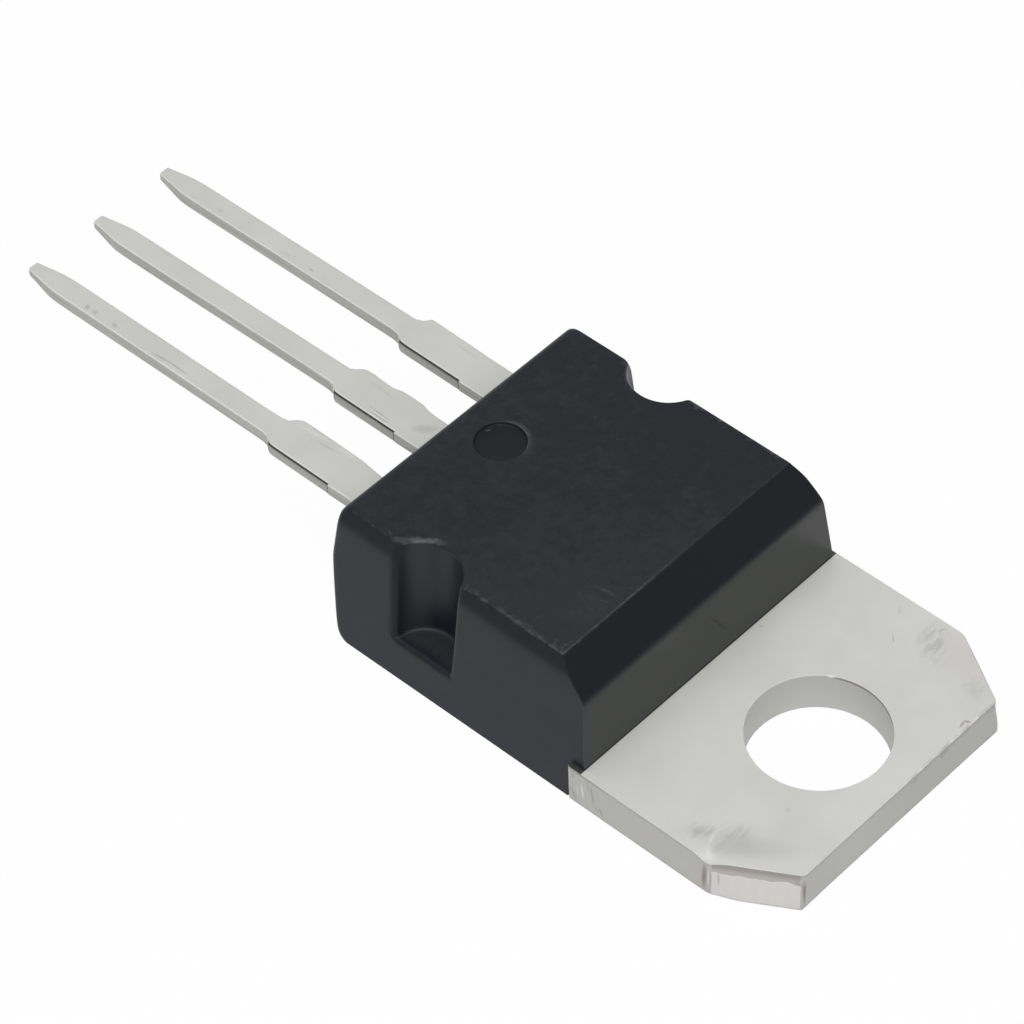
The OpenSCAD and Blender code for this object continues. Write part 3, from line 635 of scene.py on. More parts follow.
leadScratchesAndSheen = [
    ((2.66, -23.97, 3.0), (2.72, -23.90, 3.0), 0.095, 0.55, "grey"), ((2.68, -23.68, 3.0), (2.72, -23.58, 3.0), 0.085, 0.50, "grey"),
    ((2.68, -22.94, 3.0), (2.72, -22.78, 3.0), 0.095, 0.42, "grey"), ((2.78, -21.45, 3.0), (2.70, -20.60, 3.0), 0.045, 0.60, "grey"),
    ((2.70, -20.95, 3.0), (2.72, -19.92, 3.0), 0.040, 0.65, "grey"), ((-0.22, -23.95, 3.0), (-0.20, -23.6, 3.0), 0.08, 0.16, "grey"),
    ((-2.42, -24.0, 3.0), (-2.42, -23.8, 3.0), 0.08, 0.25, "grey"), ((-2.37, -21.5, 3.0), (-2.37, -21.1, 3.0), 0.07, 0.22, "grey"),
    ((-2.38, -20.38, 3.0), (-2.38, -20.24, 3.0), 0.055, 0.45, "grey"), ((0.33, -15.62, 3.0), (0.37, -14.55, 3.0), 0.032, 0.60, "grey"),
    ((0.47, -15.45, 3.0), (0.45, -14.52, 3.0), 0.032, 0.60, "grey"), ((0.40, -15.40, 3.0), (0.41, -14.70, 3.0), 0.030, 0.40, "light"),
    # The light strokes near X 2.0 on the output lead, and the grey one beside them at X 2.2, are a painted sheen along
    # its far edge; the rest are scratches
    ((0.16, -14.00, 3.0), (-0.22, -13.55, 3.0), 0.22, 0.34, "grey"), ((2.06, -16.45, 3.0), (1.98, -15.20, 3.0), 0.090, 0.30, "light"),
    ((1.98, -15.30, 3.0), (1.97, -14.10, 3.0), 0.090, 0.26, "light"), ((2.20, -15.7, 3.0), (2.14, -14.9, 3.0), 0.07, 0.20, "grey"),
    ((-2.95, -15.6, 3.0), (-2.85, -14.4, 3.0), 0.06, 0.16, "grey"), ((-0.36, -16.2, 3.0), (-0.30, -15.0, 3.0), 0.07, 0.16, "grey"),
]


def matteTin(name, clouds, scratches, onTab):
    s = Shade(name, Metallic=0.1, IOR=1.5)
    cut, paintedShade = s.layer("cut"), s.layer("paintedShade")
    cloud = s.noise(1.8, 4, 0.55)
    grain = s.noise(0.05, 2, 0.6)
    wave = s.noise(0.35, 3, 0.6, at=(2, 5, 1))
    streak = s.noise(0.16, 3, 0.6, (1, 1, 10), at=(1, 1, 1)) if onTab else s.noise(0.07, 2, 0.6, (1, 60, 1), at=(1, 1, 1))
    paler = 1.0 if onTab else 0.945
    colour = s.blend(s.ramp(cloud, 0.3, 0.7), *([v * paler for v in shade] for shade in tin["skin"]))
    grooved, plain = (0.985, 1.0) if onTab else (0.80, 0.99)
    colour = s.blend(cut, colour, s.blend(s.ramp(streak, 0.35, 0.65), *([v * share for v in tin["sheared"]] for share in (grooved, plain))))
    if onTab:
        shear = s.layer("shear")
        bright = s.blend(s.ramp(streak, 0.3, 0.7), [v * 0.975 for v in tin["burnished"]], tin["burnished"])
        colour = s.blend(shear, colour, bright)
        shake = s.sum("MULTIPLY", s.sum("SUBTRACT", wave, 0.5), 0.00012)
        wide = s.sum("MULTIPLY", s.sum("SUBTRACT", s.noise(0.5, 1.5, 0.5, at=(4, 4, 4)), 0.5), 0.00034)
        band = s.sum("MULTIPLY", shear, s.between(2, 0.91, 1.60, 0.012, wide))
        band = s.sum("MULTIPLY", band, s.ramp(s.along(2), 1.266 * mm, 1.258 * mm))
        shade = s.ramp(s.along(2), 0.98 * mm, 1.16 * mm, 0.62, 1.0)
        colour = s.blend(s.sum("MULTIPLY", band, shade), colour, tin["rolled"])
        glint = s.sum("MULTIPLY", shear, s.between(2, 0.885, 0.915, 0.018, wide))
        colour = s.blend(s.sum("MULTIPLY", glint, 0.6), colour, tin["light"])
        wall = s.layer("wall")
        upper = s.sum("MULTIPLY", wall, s.between(2, 1.19, 1.30, 0.025, shake))
        colour = s.blend(s.sum("MULTIPLY", upper, 0.36), colour, tin["grey"])
        lower = s.sum("MULTIPLY", wall, s.between(2, -0.1, 0.07, 0.03, shake))
        colour = s.blend(s.sum("MULTIPLY", lower, 0.36), colour, tin["grey"])
        near = s.sum("MULTIPLY", s.between(1, -4.2, -3.1, 0.5), s.between(2, 1.20, 1.262, 0.02))
        colour = s.blend(s.sum("MULTIPLY", s.sum("MULTIPLY", near, wall), 0.55), colour, tin["brown"])
        # The end's upper edge, rolled over unevenly
        onEnd = s.sum("MULTIPLY", wall, s.between(1, 2.70, 3.0, 0.02))
        along = s.between(0, -3.85, 0.2, 1.2)
        drop = s.sum("MULTIPLY", s.sum("SUBTRACT", wave, 0.5), 0.0009)
        edge = s.sum("MULTIPLY", s.sum("MULTIPLY", onEnd, along), s.between(2, 1.12, 1.40, 0.04, drop))
        blots = s.noise(0.42, 2, 0.5, at=(9, 1, 3))
        colour = s.blend(s.sum("MULTIPLY", edge, s.ramp(blots, 0.40, 0.64, 0.14, 0.55)), colour, tin["grey"])
        line = s.sum("MULTIPLY", s.sum("MULTIPLY", s.between(1, 2.772, 3.0, 0.012), along), s.between(2, 1.205, 1.262, 0.012, drop))
        colour = s.blend(s.sum("MULTIPLY", line, 0.40), colour, tin["grey"])
        rim = s.sum("MULTIPLY", s.between(1, 2.69, 2.765, 0.012, s.sum("MULTIPLY", drop, 0.12)), s.between(2, 1.25, 1.4, 0.01))
        rim = s.sum("MULTIPLY", rim, along)
        colour = s.blend(s.sum("MULTIPLY", rim, s.ramp(blots, 0.36, 0.50, 0.30, 0.0)), colour, tin["light"])
        colour = s.blend(s.sum("MULTIPLY", rim, s.ramp(blots, 0.40, 0.62, 0.0, 0.42)), colour, tin["grey"])
        # Thin brown line on the hole's rim
        ringed = s.sum("MULTIPLY", s.between(2, 1.20, 1.262, 0.008), s.patch((-1.85, 0.25, 1.24), (0.75, 1.7, 1.0)))
        colour = s.blend(ringed, colour, tin["brown"])
        # Painted shade: the end is lighter towards the near corner and darker towards the far one
        farther = s.sum("MULTIPLY", onEnd, s.ramp(s.along(0), 2.6 * mm, -1.5 * mm))
        colour = s.blend(s.sum("MULTIPLY", farther, 0.22), colour, tin["grey"])
    fine = {}
    for centre, size, turn, amount, tint, drawn in clouds:
        area = s.patch(centre, size, (0, 0, turn), 0.95)
        if drawn:
            if drawn not in fine:
                lines = s.noise(0.11, 3, 0.6, (drawn, 1, 1), 6, at=(drawn, 3, 0))
                fine[drawn] = s.ramp(lines, 0.36, 0.64, 0.12, 1.0)
            area = s.sum("MULTIPLY", area, fine[drawn])
        colour = s.blend(s.sum("MULTIPLY", area, amount), colour, tin[tint])
    for start, stop, width, amount, tint in scratches:
        colour = s.blend(s.sum("MULTIPLY", s.stroke(start, stop, width), amount), colour, tin[tint])
    # Painted shade in the leads' grooves and at the ends of their stubs
    colour = s.blend(paintedShade, colour, tin["black"])
    if not onTab:
        # Painted highlight along the leads' rounded upper edges and their stubs' lips, and a light line where the metal
        # comes out of the body
        colour = s.blend(s.sum("MULTIPLY", s.layer("shine"), 0.75), colour, tin["light"])
        colour = s.blend(s.sum("MULTIPLY", s.between(1, -12.80, -12.5, 0.02), 0.85), colour, tin["light"])
    if onTab:
        # Painted shadow: a black line on the tab's top where the moulding's front stands over it
        under = s.sum("MULTIPLY", s.between(1, -4.3, -3.635, 0.02), s.between(2, 1.262, 1.4, 0.004))
        colour = s.blend(s.sum("MULTIPLY", under, 0.96), colour, tin["black"])
    rough = s.ramp(grain, 0.3, 0.7, tin["rough"] - 0.06, tin["rough"] + 0.06)
    normal = s.bump(s.sum("ADD", grain, s.sum("MULTIPLY", wave, 0.8)), 0.0025)
    return s.finish(Base_Color=colour, Roughness=rough, Normal=normal)


tabTin = matteTin("matteTinOnTab", tabClouds, tabScratches, True)
leadTin = matteTin("matteTinOnLeads", [], leadScratchesAndSheen, False)

tab = {
    "plateX": 4.10, "flangeX": 4.35, "flangeZ": 0.60,   # half widths of the plate in the body, and the flange's height
    "rootY": -4.11, "plateEndY": -10.99,                # shoulder, and the plate's end
    "recessX": 4.82, "recessY": -9.33, "notchR": 1.47,
    "thick": 1.27, "holeR": 1.92,
    "cutX": 3.81, "cutY": 0.67,                         # where the cut corners start on the end and on the side
    "roll": 0.025,                                      # rounding of the top edge
    "swell": 0.10,                                      # how far the cut corners stand out at the foot
    "droop": 0.09, "farDroop": 0.12,                    # how far the top sinks where the cuts start, and its share at -X
}
tabCols = dict(end=8, corner=4, rear=5, notch=18, plate=14, shoulder=8, root=4, side=44, bend=8, cut=26, nose=8, face=30)


# Ring of the tab's half outline through given corner points
def tabRing(corners, height):
    points = []
    for key, (p, q) in corners.items():
        n = tabCols[key]
        u = (bothEnds(n, 1.4) if n > 12 else np.arange(n) / n)[:, None]
        points.append(np.array([p]) * (1 - u) + np.array([q]) * u)
    points.append(np.array([list(corners.values())[-1][1]]))
    plan = np.concatenate(points)
    return np.concatenate([plan, np.full((len(plan), 1), height)], 1)


# Outline of the tab and plate, set in by a small amount and with the plate at half width px
def tabOutline(t, px, inset, height):
    w, n = tabHigh[0] - inset, tabHigh[1] - inset
    reach = math.sqrt(t["notchR"] ** 2 - (t["recessX"] - px) ** 2)
    low, high = t["recessY"] - reach, t["recessY"] + reach
    root, end = t["rootY"] + inset, t["plateEndY"] + inset
    cx, cy = t["cutX"] - inset * 0.6, t["cutY"] - inset * 0.6
    slope = np.array([cx - w, n - cy]) / math.hypot(cx - w, n - cy) * 0.08
    ring = tabRing(dict(
        end=((0, end), (px - 0.1, end)), corner=((px - 0.1, end), (px, end + 0.1)), rear=((px, end + 0.1), (px, low)),
        notch=((px, low), (px, high)), plate=((px, high), (px, root)), shoulder=((px, root), (w - 0.05, root)),
        root=((w - 0.05, root), (w, root + 0.05)), side=((w, root + 0.05), (w, cy - 0.08)),
        bend=((w, cy - 0.08), (w + slope[0], cy + slope[1])), cut=((w + slope[0], cy + slope[1]), (cx - slope[0], n - slope[1])),
        nose=((cx - slope[0], n - slope[1]), (cx - 0.08, n)), face=((cx - 0.08, n), (0, n))), height)
    names = np.array([key for key in tabCols for _ in range(tabCols[key])] + ["face"])
    half = math.asin(reach / t["notchR"])
    a = np.pi + half - 2 * half * np.arange(tabCols["notch"]) / tabCols["notch"]
    ring[names == "notch", 0] = t["recessX"] + t["notchR"] * np.cos(a)
    ring[names == "notch", 1] = t["recessY"] + t["notchR"] * np.sin(a)
    return ring, names


def tabPlate(t):
    outline = lambda px, inset, height: tabOutline(t, px, inset, height)[0]
    names = tabOutline(t, t["plateX"], 0, 0)[1]
    thick = t["thick"]
    inner = tabRing(dict(
        end=((0, -10.7), (3.1, -10.7)), corner=((3.1, -10.7), (3.2, -10.6)), rear=((3.2, -10.6), (3.2, -10.4)),
        notch=((3.2, -10.4), (3.2, -8.2)), plate=((3.2, -8.2), (3.2, -4.4)), shoulder=((3.2, -4.4), (3.2, -4.2)),
        root=((3.2, -4.2), (3.2, -4.1)), side=((3.2, -4.1), (3.2, 0.55)), bend=((3.2, 0.55), (3.18, 0.65)),
        cut=((3.18, 0.65), (2.55, 2.15)), nose=((2.55, 2.15), (2.45, 2.2)), face=((2.45, 2.2), (0, 2.2))), 0)
    turn = np.arctan2(inner[:, 1], inner[:, 0])
    circle = np.stack([np.cos(turn), np.sin(turn), np.zeros(len(turn))], -1)
    up = np.array([0, 0, 1.0])
    roll = t["roll"]
    rows = []
    # Hole wall upwards, over its rim
    for z in (0.0, 0.01, 0.03, 0.1, 0.4, 0.8, 1.1, 1.2, 1.245, 1.26, 1.27):
        grow = 0.012 * (z > 1.262 or z < 0.005) + 0.003 * (1.25 < z < 1.262)
        rows.append(circle * (t["holeR"] + grow) + up * z)
    # Top face outwards
    for s in (0.012, 0.03, 0.06, 0.12):
        rows.append(circle * (t["holeR"] + s) + up * thick)
    edge = outline(t["flangeX"], 0, thick)
    ring = circle * (t["holeR"] + 0.12) + up * thick
    mid = inner + up * thick
    for s in (0.3, 0.65, 1.0):
        rows.append(ring * (1 - s) + mid * s)
    inset = lambda s: outline(t["flangeX"], s, thick)
    far = inset(0.3)
    for s in (0.25, 0.5, 0.8):
        rows.append(mid * (1 - s) + far * s)
    rows.append(far)
    # Over the outer edge by an arc of its own radius: in by r(1 - sin a), down by r(1 - cos a)
    for s in (0.15, 0.07, 0.04):
        rows.append(inset(s))
    for a in np.radians((0, 15, 30, 45, 60, 75, 90)):
        back = roll * (1 - np.sin(a))
        drop = roll * (1 - np.cos(a))
        rows.append(edge + (inset(0.3) - edge) * (back / 0.3) - up * drop)
    for z in (1.08, 1.05, 0.95, 0.8, 0.7, 0.64, 0.615, 0.605, 0.6):
        rows.append(outline(t["flangeX"], 0, z))
    for s, z in ((0.1, 0.6), (0.5, 0.6), (0.9, 0.6), (1.0, 0.598), (1.0, 0.58), (1.0, 0.5), (1.0, 0.3), (1.0, 0.12),
                 (1.0, 0.05), (1.0, 0.03), (1.0, 0.02)):
        rows.append(outline(t["flangeX"] + s * (t["plateX"] - t["flangeX"]), 0, z))
    # Bottom edge and back face inwards
    for s, z in ((0.003, 0.01), (0.01, 0.003), (0.02, 0.0), (0.035, 0.0), (0.06, 0.0), (0.12, 0.0), (0.3, 0.0)):
        rows.append(outline(t["plateX"], s, z))
    low = inner * [1, 1, 0]
    for s in (0.4, 0.8, 1.0):
        rows.append(rows[-1] * (1 - s) + low * s if s < 1 else low)
    lowRing = circle * (t["holeR"] + 0.12)
    for s in (0.35, 0.7, 1.0):
        rows.append(low * (1 - s) + lowRing * s)
    for s in (0.06, 0.03, 0.018):
        rows.append(circle * (t["holeR"] + s))
    half = np.array(rows)
    points = mirrored(half)
    points = soften(points, 1, closeRows=True)
    whole = np.concatenate([names, names[-2:0:-1]])[None, :]
    z = points[..., 2]
    r = np.arange(len(rows))[:, None]
    rim = points[..., 0] ** 2 + points[..., 1] ** 2 < (t["holeR"] + 0.03) ** 2
    wall = (r > 22) & (z < thick - 0.004) & (z > 0.004) & ~rim
    hole = rim & (z < thick - 0.004) & (z > 0.004)
    corner = (whole == "cut") & (np.abs(points[..., 0]) > t["cutX"] - 0.005)
    # The cut corners stand out along their normal, most at the foot and past the middle, and fade inwards
    aside, along = np.abs(points[..., 0]), points[..., 1]
    run = np.array([t["cutX"] - tabHigh[0], tabHigh[1] - t["cutY"]])
    run = run / np.hypot(*run)
    place = (aside - tabHigh[0]) * run[0] + (along - t["cutY"]) * run[1]
    depth = (tabHigh[0] - aside) * run[1] - (along - t["cutY"]) * -run[0]
    push = t["swell"] * smooth(place, -0.1, 0.9) * (1 - smooth(z, 0.15, 1.15)) * np.exp(-(depth / 0.35) ** 2)
    points[..., 0] += np.sign(points[..., 0]) * push * run[1]
    points[..., 1] -= push * run[0]
    points[..., 0] = np.clip(points[..., 0], tabLow[0], tabHigh[0])
    points[..., 1] = np.minimum(points[..., 1], tabHigh[1])
    # Where the cuts start, the top sinks by droop e^-(d^2), d being the distance over (0.26, 0.34); less on the -X side
    sag = np.exp(-((aside - 5.06) / 0.26) ** 2 - ((along - 0.64) / 0.34) ** 2)
    share = np.where(points[..., 0] > 0, 1.0, t["farDroop"])
    points[..., 2] -= t["droop"] * share * sag * smooth(z, 0.85, 1.27)
    layers = {"cut": (wall & ~corner) * 1.0 + hole * 0.6, "shear": (wall & corner) * 1.0, "wall": wall * 1.0, "paintedShade": wall * 0.0}
    layers = {key: value[::-1] for key, value in layers.items()}
    return shellMesh("TabAndPlate", points[::-1], layers, closeRows=True)


tabPiece = tabPlate(tab)


# ---------- leads ----------

lead = {
    "thick": 0.40, "topZ": 3.00,
    "edge": 0.045, "lowEdge": 0.05,  # rounding of the top and bottom edges
    "neck": 0.59, "tipT": 0.26, "tipRise": 0.9,
}
# Edges of each lead as it lies: distance along Y, then how far its far side and its near side lie from its middle
tipEdges = [(-26.27, 0.158), (-26.262, 0.172), (-26.245, 0.182), (-26.0, 0.218), (-25.6, 0.284), (-25.3, 0.328), (-25.05, 0.345), (-24.5, 0.35)]
leadEdges = {
    "InputLead": dict(middle=-2.54, lean=0.0, far=[(-16.82, 0.36), (-16.62, 0.45), (-16.46, 0.65), (-16.2, 0.645),
                      (-15.0, 0.615), (-14.2, 0.59), (-12.6, 0.585)],
                      near=[(-17.0, 0.36), (-16.8, 0.40), (-16.65, 0.52), (-16.55, 0.575), (-16.4, 0.59), (-14.36, 0.605), (-14.32, 0.62), (-12.6, 0.62)]),
    "GroundLead": dict(middle=0.0, lean=0.045, far=[(-16.86, 0.36), (-16.72, 0.45), (-16.58, 0.59), (-16.42, 0.635),
                       (-16.2, 0.63), (-15.62, 0.598), (-15.48, 0.60), (-15.2, 0.675), (-14.9, 0.685), (-14.42, 0.67),
                       (-14.2, 0.605), (-13.9, 0.575), (-12.6, 0.56)],
                       near=[(-17.0, 0.36), (-16.8, 0.40), (-16.67, 0.52), (-16.57, 0.58), (-16.4, 0.59), (-14.36, 0.60), (-14.32, 0.615), (-12.6, 0.615)]),
    "OutputLead": dict(middle=2.54, lean=0.0, far=[(-16.95, 0.37), (-16.74, 0.42), (-16.58, 0.60), (-16.44, 0.675),
                       (-16.2, 0.682), (-15.0, 0.668), (-14.2, 0.65), (-13.95, 0.615), (-13.5, 0.565), (-12.6, 0.55)],
                       near=[(-17.0, 0.36), (-16.8, 0.40), (-16.65, 0.51), (-16.55, 0.57), (-16.4, 0.585), (-14.36, 0.60), (-14.32, 0.615), (-12.6, 0.615)]),
}


# Half width along Y, straight between its given places
def sideAt(y, places, root):
    table = np.array(tipEdges + [(-17.4, 0.355)] + places + root)
    return np.interp(y, table[:, 0], table[:, 1])


# Lead as a rounded section carried along its middle line: X across it, and height h set off square to the line, so
# that a point is (x, y + h sin a, z + h cos a) where the line at (y, z) climbs at angle a
def leadShell(name, L, e, path, root):
    y, z, a = path
    rows = len(y)
    xf = -sideAt(y, e["far"], root)
    xn = sideAt(y, e["near"], root)
    lean = e["lean"] * smooth(-y, 16.5, 26.0)
    half = L["thick"] / 2
    toTip = smooth(-y, 25.3, 26.27)
    top = half - 0.02 * toTip ** 2
    low = -half - 0.02 * smooth(-y, 16.4, 16.8) + (L["thick"] - L["tipT"]) * np.clip((-y - 26.27 + L["tipRise"]) / L["tipRise"], 0, 1)
    strip = smooth(-y, 14.30, 14.38) * smooth(-y, 16.66, 16.58)
    # Painted shade: thin dark lines down the stub's two ends
    ends = 0.95 * np.exp(-((y + 14.345) / 0.022) ** 2) + 0.90 * np.exp(-((y + 16.60) / 0.03) ** 2)
    r, q = L["edge"], L["lowEdge"]
    one = np.ones(rows)
    outside = smooth(-y, 12.3, 12.6)
    section = []

    def add(x, h, dark=0.0, side=0.0, shine=0.0):
        section.append(np.stack([x * one, h * one, dark * one, side * one, shine * one], -1))

    for u in (0.03, 0.08, 0.2, 0.5, 0.8, 0.95):
        add(xn - r - 0.02 + (xf - xn + 2 * r + 0.02) * u, top)
    for t in np.radians((90, 70, 50, 30, 10, 0)):
        add(xf + r - r * np.cos(t), top - r + r * np.sin(t), side=float(t < 0.7))
    for u in (0.15, 0.5, 0.85):
        add(xf, (top - r) * (1 - u) + (low + q) * u, side=1)
    for t in np.radians((0, 20, 45, 70, 90)):
        add(xf + q - q * np.cos(t), low + q - q * np.sin(t), side=1)
    for u in (0.05, 0.3, 0.7, 0.95):
        add((xf + q) * (1 - u) + (xn - q) * u, low)
    for t in np.radians((90, 70, 45, 20, 0)):
        add(xn - q + q * np.cos(t), low + q - q * np.sin(t), side=1)
    # The stub's side is painted darker towards its top, as shade under its lip
    for u in (0.2, 0.45, 0.7, 0.9):
        add(xn, (low + q) * (1 - u) + (top - r - 0.03 * strip) * u, dark=0.16 * u * strip + ends, side=1)
    # Upper near edge: rounded, or on the tie bar's stub a crisp lip with a groove behind it, painted dark as shade
    groove = ((0.000, 0.058, 0.50), (0.006, 0.048, 0.80), (0.020, 0.050, 1.0), (0.031, 0.042, 1.0), (0.036, 0.012, 0.8),
              (0.044, 0.002, 0.0), (0.060, 0.000, 0.0))
    for t, (back, down, dark) in zip(np.radians((15, 33, 50, 66, 80, 90, 90)), groove):
        add(xn - (1 - strip) * r * (1 - np.cos(t)) - strip * back,
            top - (1 - strip) * r * (1 - np.sin(t)) - strip * down, dark=dark * strip + ends * (dark > 0), side=t < 0.7,
            shine=(np.sin(2 * t) ** 2 * (1 - strip) + 0.7 * strip * (back > 0.04)) * outside)
    s = np.stack(section, 1)
    x = s[..., 0] + lean[:, None] + e["middle"]
    h = s[..., 1]
    points = np.stack([x, y[:, None] + h * np.sin(a)[:, None], z[:, None] + h * np.cos(a)[:, None]], -1)
    points = soften(points, 1, cols=False)
    return shellMesh(name, points, {"paintedShade": s[..., 2], "cut": s[..., 3], "shine": s[..., 4]})


# Places along a lead outside the body: closer together where its outline turns
def leadPlaces(start):
    knots = [start, -12.7, -13.4, -14.1, -14.5, -15.0, -15.7, -16.3, -17.0, -17.6, -24.4, -25.3, -26.1, -26.24]
    counts = [6, 8, 14, 22, 12, 16, 12, 40, 10, 30, 14, 16, 10]
    return np.concatenate([np.linspace(p, q, n, endpoint=False) for p, q, n in zip(knots, knots[1:], counts)]
                          + [[-26.24, -26.252, -26.262, -26.267, -26.27]])


def outerLead(name, e, shift):
    places = leadPlaces(-12.2)
    post = np.array([-10.94, -10.95, -11.0, -11.5, -12.0, -12.17, -12.19])
    y = np.concatenate([post, places])
    root = [(-12.195, 0.55), (-12.185, 1.2), (-10.9, 1.2)]
    z = np.full(len(y), lead["topZ"] - lead["thick"] / 2)
    return leadShell(name, lead, e, (y, z, np.zeros(len(y))), root)


# Ground lead: from inside the plate, up a bend, along a slope, through a bend back to level, and straight out
def groundLead(e):
    r, slope = 0.35, math.radians(60)
    zl, zh = 1.27 - 0.2, 2.8
    start = -10.99
    run = 2 * r * math.sin(slope) + (zh - zl - 2 * r * (1 - math.cos(slope))) / math.tan(slope)
    a1 = np.linspace(0, slope, 9)
    y1, z1 = start - r * np.sin(a1), zl + r * (1 - np.cos(a1))
    a2 = a1[::-1]
    y2, z2 = start - run + r * np.sin(a2), zh - r * (1 - np.cos(a2))
    places = leadPlaces(start - run - 0.02)
    y = np.concatenate([[start + 0.3, start + 0.1], y1, y2, places])
    z = np.concatenate([[zl, zl], z1, z2, np.full(len(places), zh)])
    a = np.concatenate([[0, 0], a1, a2, np.zeros(len(places))])
    return leadShell("GroundLead", lead, e, (y, z, a), [(-10.0, 0.55)])


inputPiece = outerLead("InputLead", leadEdges["InputLead"], -0.1)
outputPiece = outerLead("OutputLead", leadEdges["OutputLead"], 0.1)
groundPiece = groundLead(leadEdges["GroundLead"])
dress(inputPiece, leadTin, "tinned_lead", "input_lead")
dress(outputPiece, leadTin, "tinned_lead", "output_lead")
dress(tabPiece, tabTin, "tinned_tab", "tab_with_ground_lead")
dress(groundPiece, leadTin, "tinned_tab", "tab_with_ground_lead")


# ---------- pieces inside the body ----------

def innerFinish(name, colours, grain, how, depth, **sockets):
    s = Shade(name, **sockets)
    pattern = s.noise(grain, 3, 0.6, how)
    colour = s.blend(pattern, *colours)
    return s.finish(Base_Color=colour, Normal=s.bump(pattern, depth))


silicon = innerFinish("polishedSilicon", ((0.075, 0.085, 0.11), (0.11, 0.12, 0.15)), 0.4, (1, 1, 1), 0.001,
                      Roughness=0.12, Metallic=0.5)
solder = innerFinish("satinSolder", ((0.28, 0.28, 0.29), (0.36, 0.36, 0.37)), 0.12, (1, 1, 1), 0.004,
                     Roughness=0.38, Metallic=1.0)
wire = innerFinish("drawnAluminium", ((0.70, 0.71, 0.72), (0.80, 0.81, 0.82)), 0.05, (1, 1, 6), 0.002,
                   Roughness=0.3, Metallic=1.0)
for node, finish in (("regulator_die", silicon), ("die_solder", solder), ("input_bond_wire", wire),
                     ("output_bond_wire", wire), ("sense_bond_wire", wire), ("ground_bond_wire", wire)):
    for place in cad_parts[node].material_slots:
        place.material = finish


# ---------- floor, light and camera ----------

studio = {"sky": 0.30, "overhead": 0.50, "front": 0.30, "floorWhite": 0.80, "floorGlow": 0.975}


# 1 for rays from the camera, and for those that a glossy or a clear surface sends on
def seenDirectly(tree):
    path = tree.nodes.new("ShaderNodeLightPath")
    most = path.outputs["Is Camera Ray"]
    for key in ("Is Glossy Ray", "Is Transmission Ray"):
        node = tree.nodes.new("ShaderNodeMath")
        node.operation = "MAXIMUM"
        tree.links.new(most, node.inputs[0])
        tree.links.new(path.outputs[key], node.inputs[1])
        most = node.outputs[0]
    return most


def paleFloor():
    size = 1.5
    mesh = bpy.data.meshes.new("floor")
    corners = [(-size, -size, -0.00002), (size, -size, -0.00002), (size, size, -0.00002), (-size, size, -0.00002)]
    mesh.from_pydata(corners, [], [(0, 1, 2, 3)])
    floor = bpy.data.objects.new("Floor", mesh)
    bpy.context.scene.collection.objects.link(floor)
    material = bpy.data.materials.new("paleFloor")
    material.use_nodes = True
    tree = material.node_tree
    skin = tree.nodes["Principled BSDF"]
    skin.inputs["Base Color"].default_value = (studio["floorWhite"],) * 3 + (1,)
    skin.inputs["Roughness"].default_value = 1.0
    skin.inputs["Specular IOR Level"].default_value = 0.0
    glow = tree.nodes.new("ShaderNodeEmission")
    glow.inputs["Color"].default_value = (1, 1, 1, 1)
    half = tree.nodes.new("ShaderNodeMixShader")
    half.inputs[0].default_value = studio["floorGlow"]
    tree.links.new(skin.outputs[0], half.inputs[1])
    tree.links.new(glow.outputs[0], half.inputs[2])
    choose = tree.nodes.new("ShaderNodeMixShader")
    tree.links.new(seenDirectly(tree), choose.inputs[0])
    tree.links.new(skin.outputs[0], choose.inputs[1])
    tree.links.new(half.outputs[0], choose.inputs[2])
    tree.links.new(choose.outputs[0], tree.nodes["Material Output"].inputs[0])
    mesh.materials.append(material)


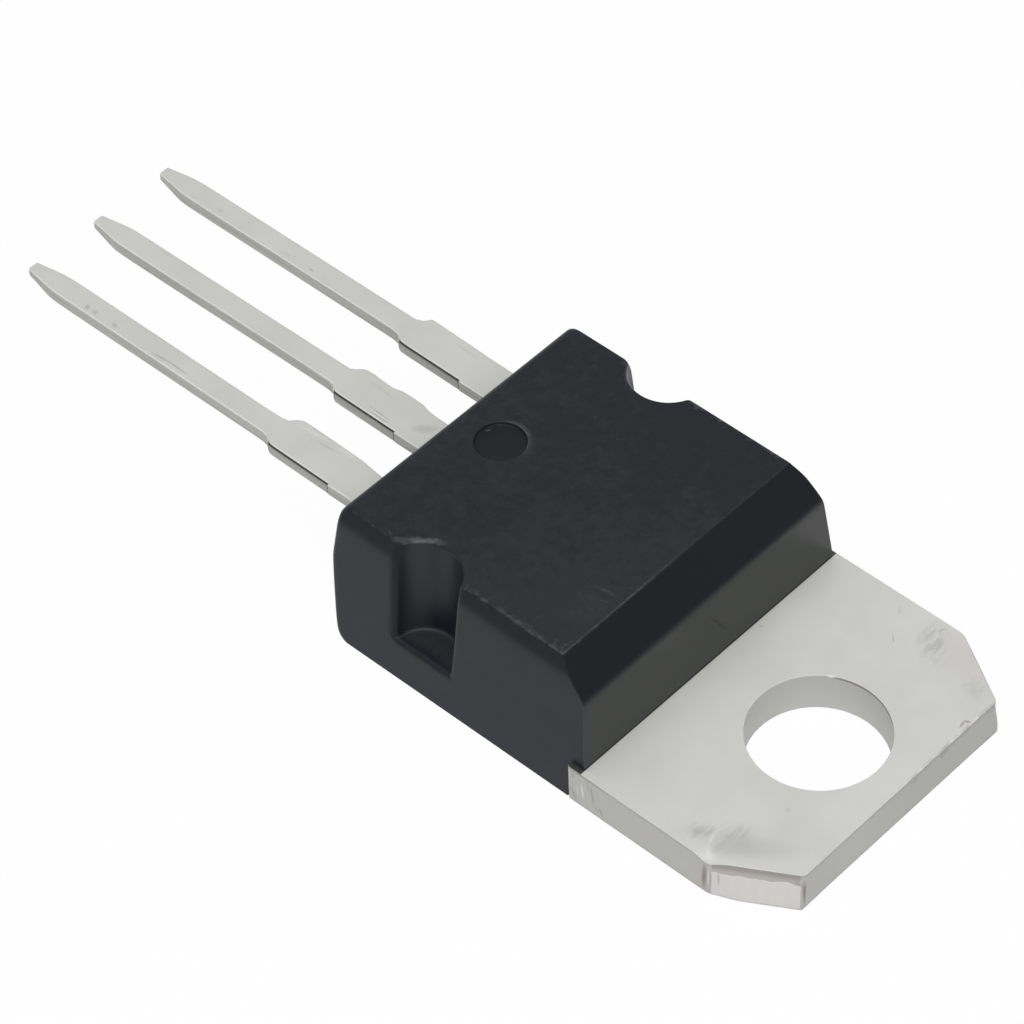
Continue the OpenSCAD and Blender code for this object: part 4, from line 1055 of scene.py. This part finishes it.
def sky():
    world = bpy.data.worlds.new("studio")
    bpy.context.scene.world = world
    world.use_nodes = True
    tree = world.node_tree
    tree.nodes["Background"].inputs["Strength"].default_value = studio["sky"]
    tree.nodes["Background"].inputs["Color"].default_value = (1, 1, 1, 1)
    white = tree.nodes.new("ShaderNodeBackground")
    choose = tree.nodes.new("ShaderNodeMixShader")
    tree.links.new(seenDirectly(tree), choose.inputs[0])
    tree.links.new(tree.nodes["Background"].outputs[0], choose.inputs[1])
    tree.links.new(white.outputs[0], choose.inputs[2])
    tree.links.new(choose.outputs[0], tree.nodes["World Output"].inputs[0])


# Square lamp facing a point; its power gives about the level written for a surface square to it
def lamp(name, place, target, size, level):
    light = bpy.data.lights.new(name, "AREA")
    light.size = size
    away = np.array(place) - np.array(target)
    distance = float(np.linalg.norm(away))
    light.energy = level * math.pi * math.pi * distance ** 2
    piece = bpy.data.objects.new(name, light)
    z = away / distance
    x = np.cross([0, 0, 1.0], z) if abs(z[2]) < 0.99 else np.array([1.0, 0, 0])
    x = x / np.linalg.norm(x)
    y = np.cross(z, x)
    piece.matrix_world = Matrix([[x[i], y[i], z[i], place[i]] for i in range(3)] + [[0, 0, 0, 1]])
    bpy.context.scene.collection.objects.link(piece)


paleFloor()
sky()
centre = (0.0, -0.008, 0.0)
lamp("Overhead", (0.04, 0.04, 0.40), centre, 0.38, studio["overhead"])
lamp("Front", (0.25, 0.20, 0.34), centre, 0.40, studio["front"])


def photoCamera():
    view = bpy.data.cameras.new("view")
    view.sensor_width = 36.0
    view.lens = 4785.68 / 1024 * 36.0
    view.shift_x = -(513.382 - 512) / 1024
    view.shift_y = (509.837 - 512) / 1024
    view.clip_start, view.clip_end = 0.01, 10.0
    piece = bpy.data.objects.new("Camera", view)
    right = (-0.6769, 0.7356, -0.0274)
    up = (-0.5526, -0.4832, 0.6790)
    back = (0.4862, 0.4748, 0.7336)
    at = (0.06164, 0.04961, 0.09512)
    piece.matrix_world = Matrix([[right[i], up[i], back[i], at[i]] for i in range(3)] + [[0, 0, 0, 1]])
    bpy.context.scene.collection.objects.link(piece)
    bpy.context.scene.camera = piece


photoCamera()
bpy.context.scene.view_settings.view_transform = "Standard"

bpy.context.view_layer.update()
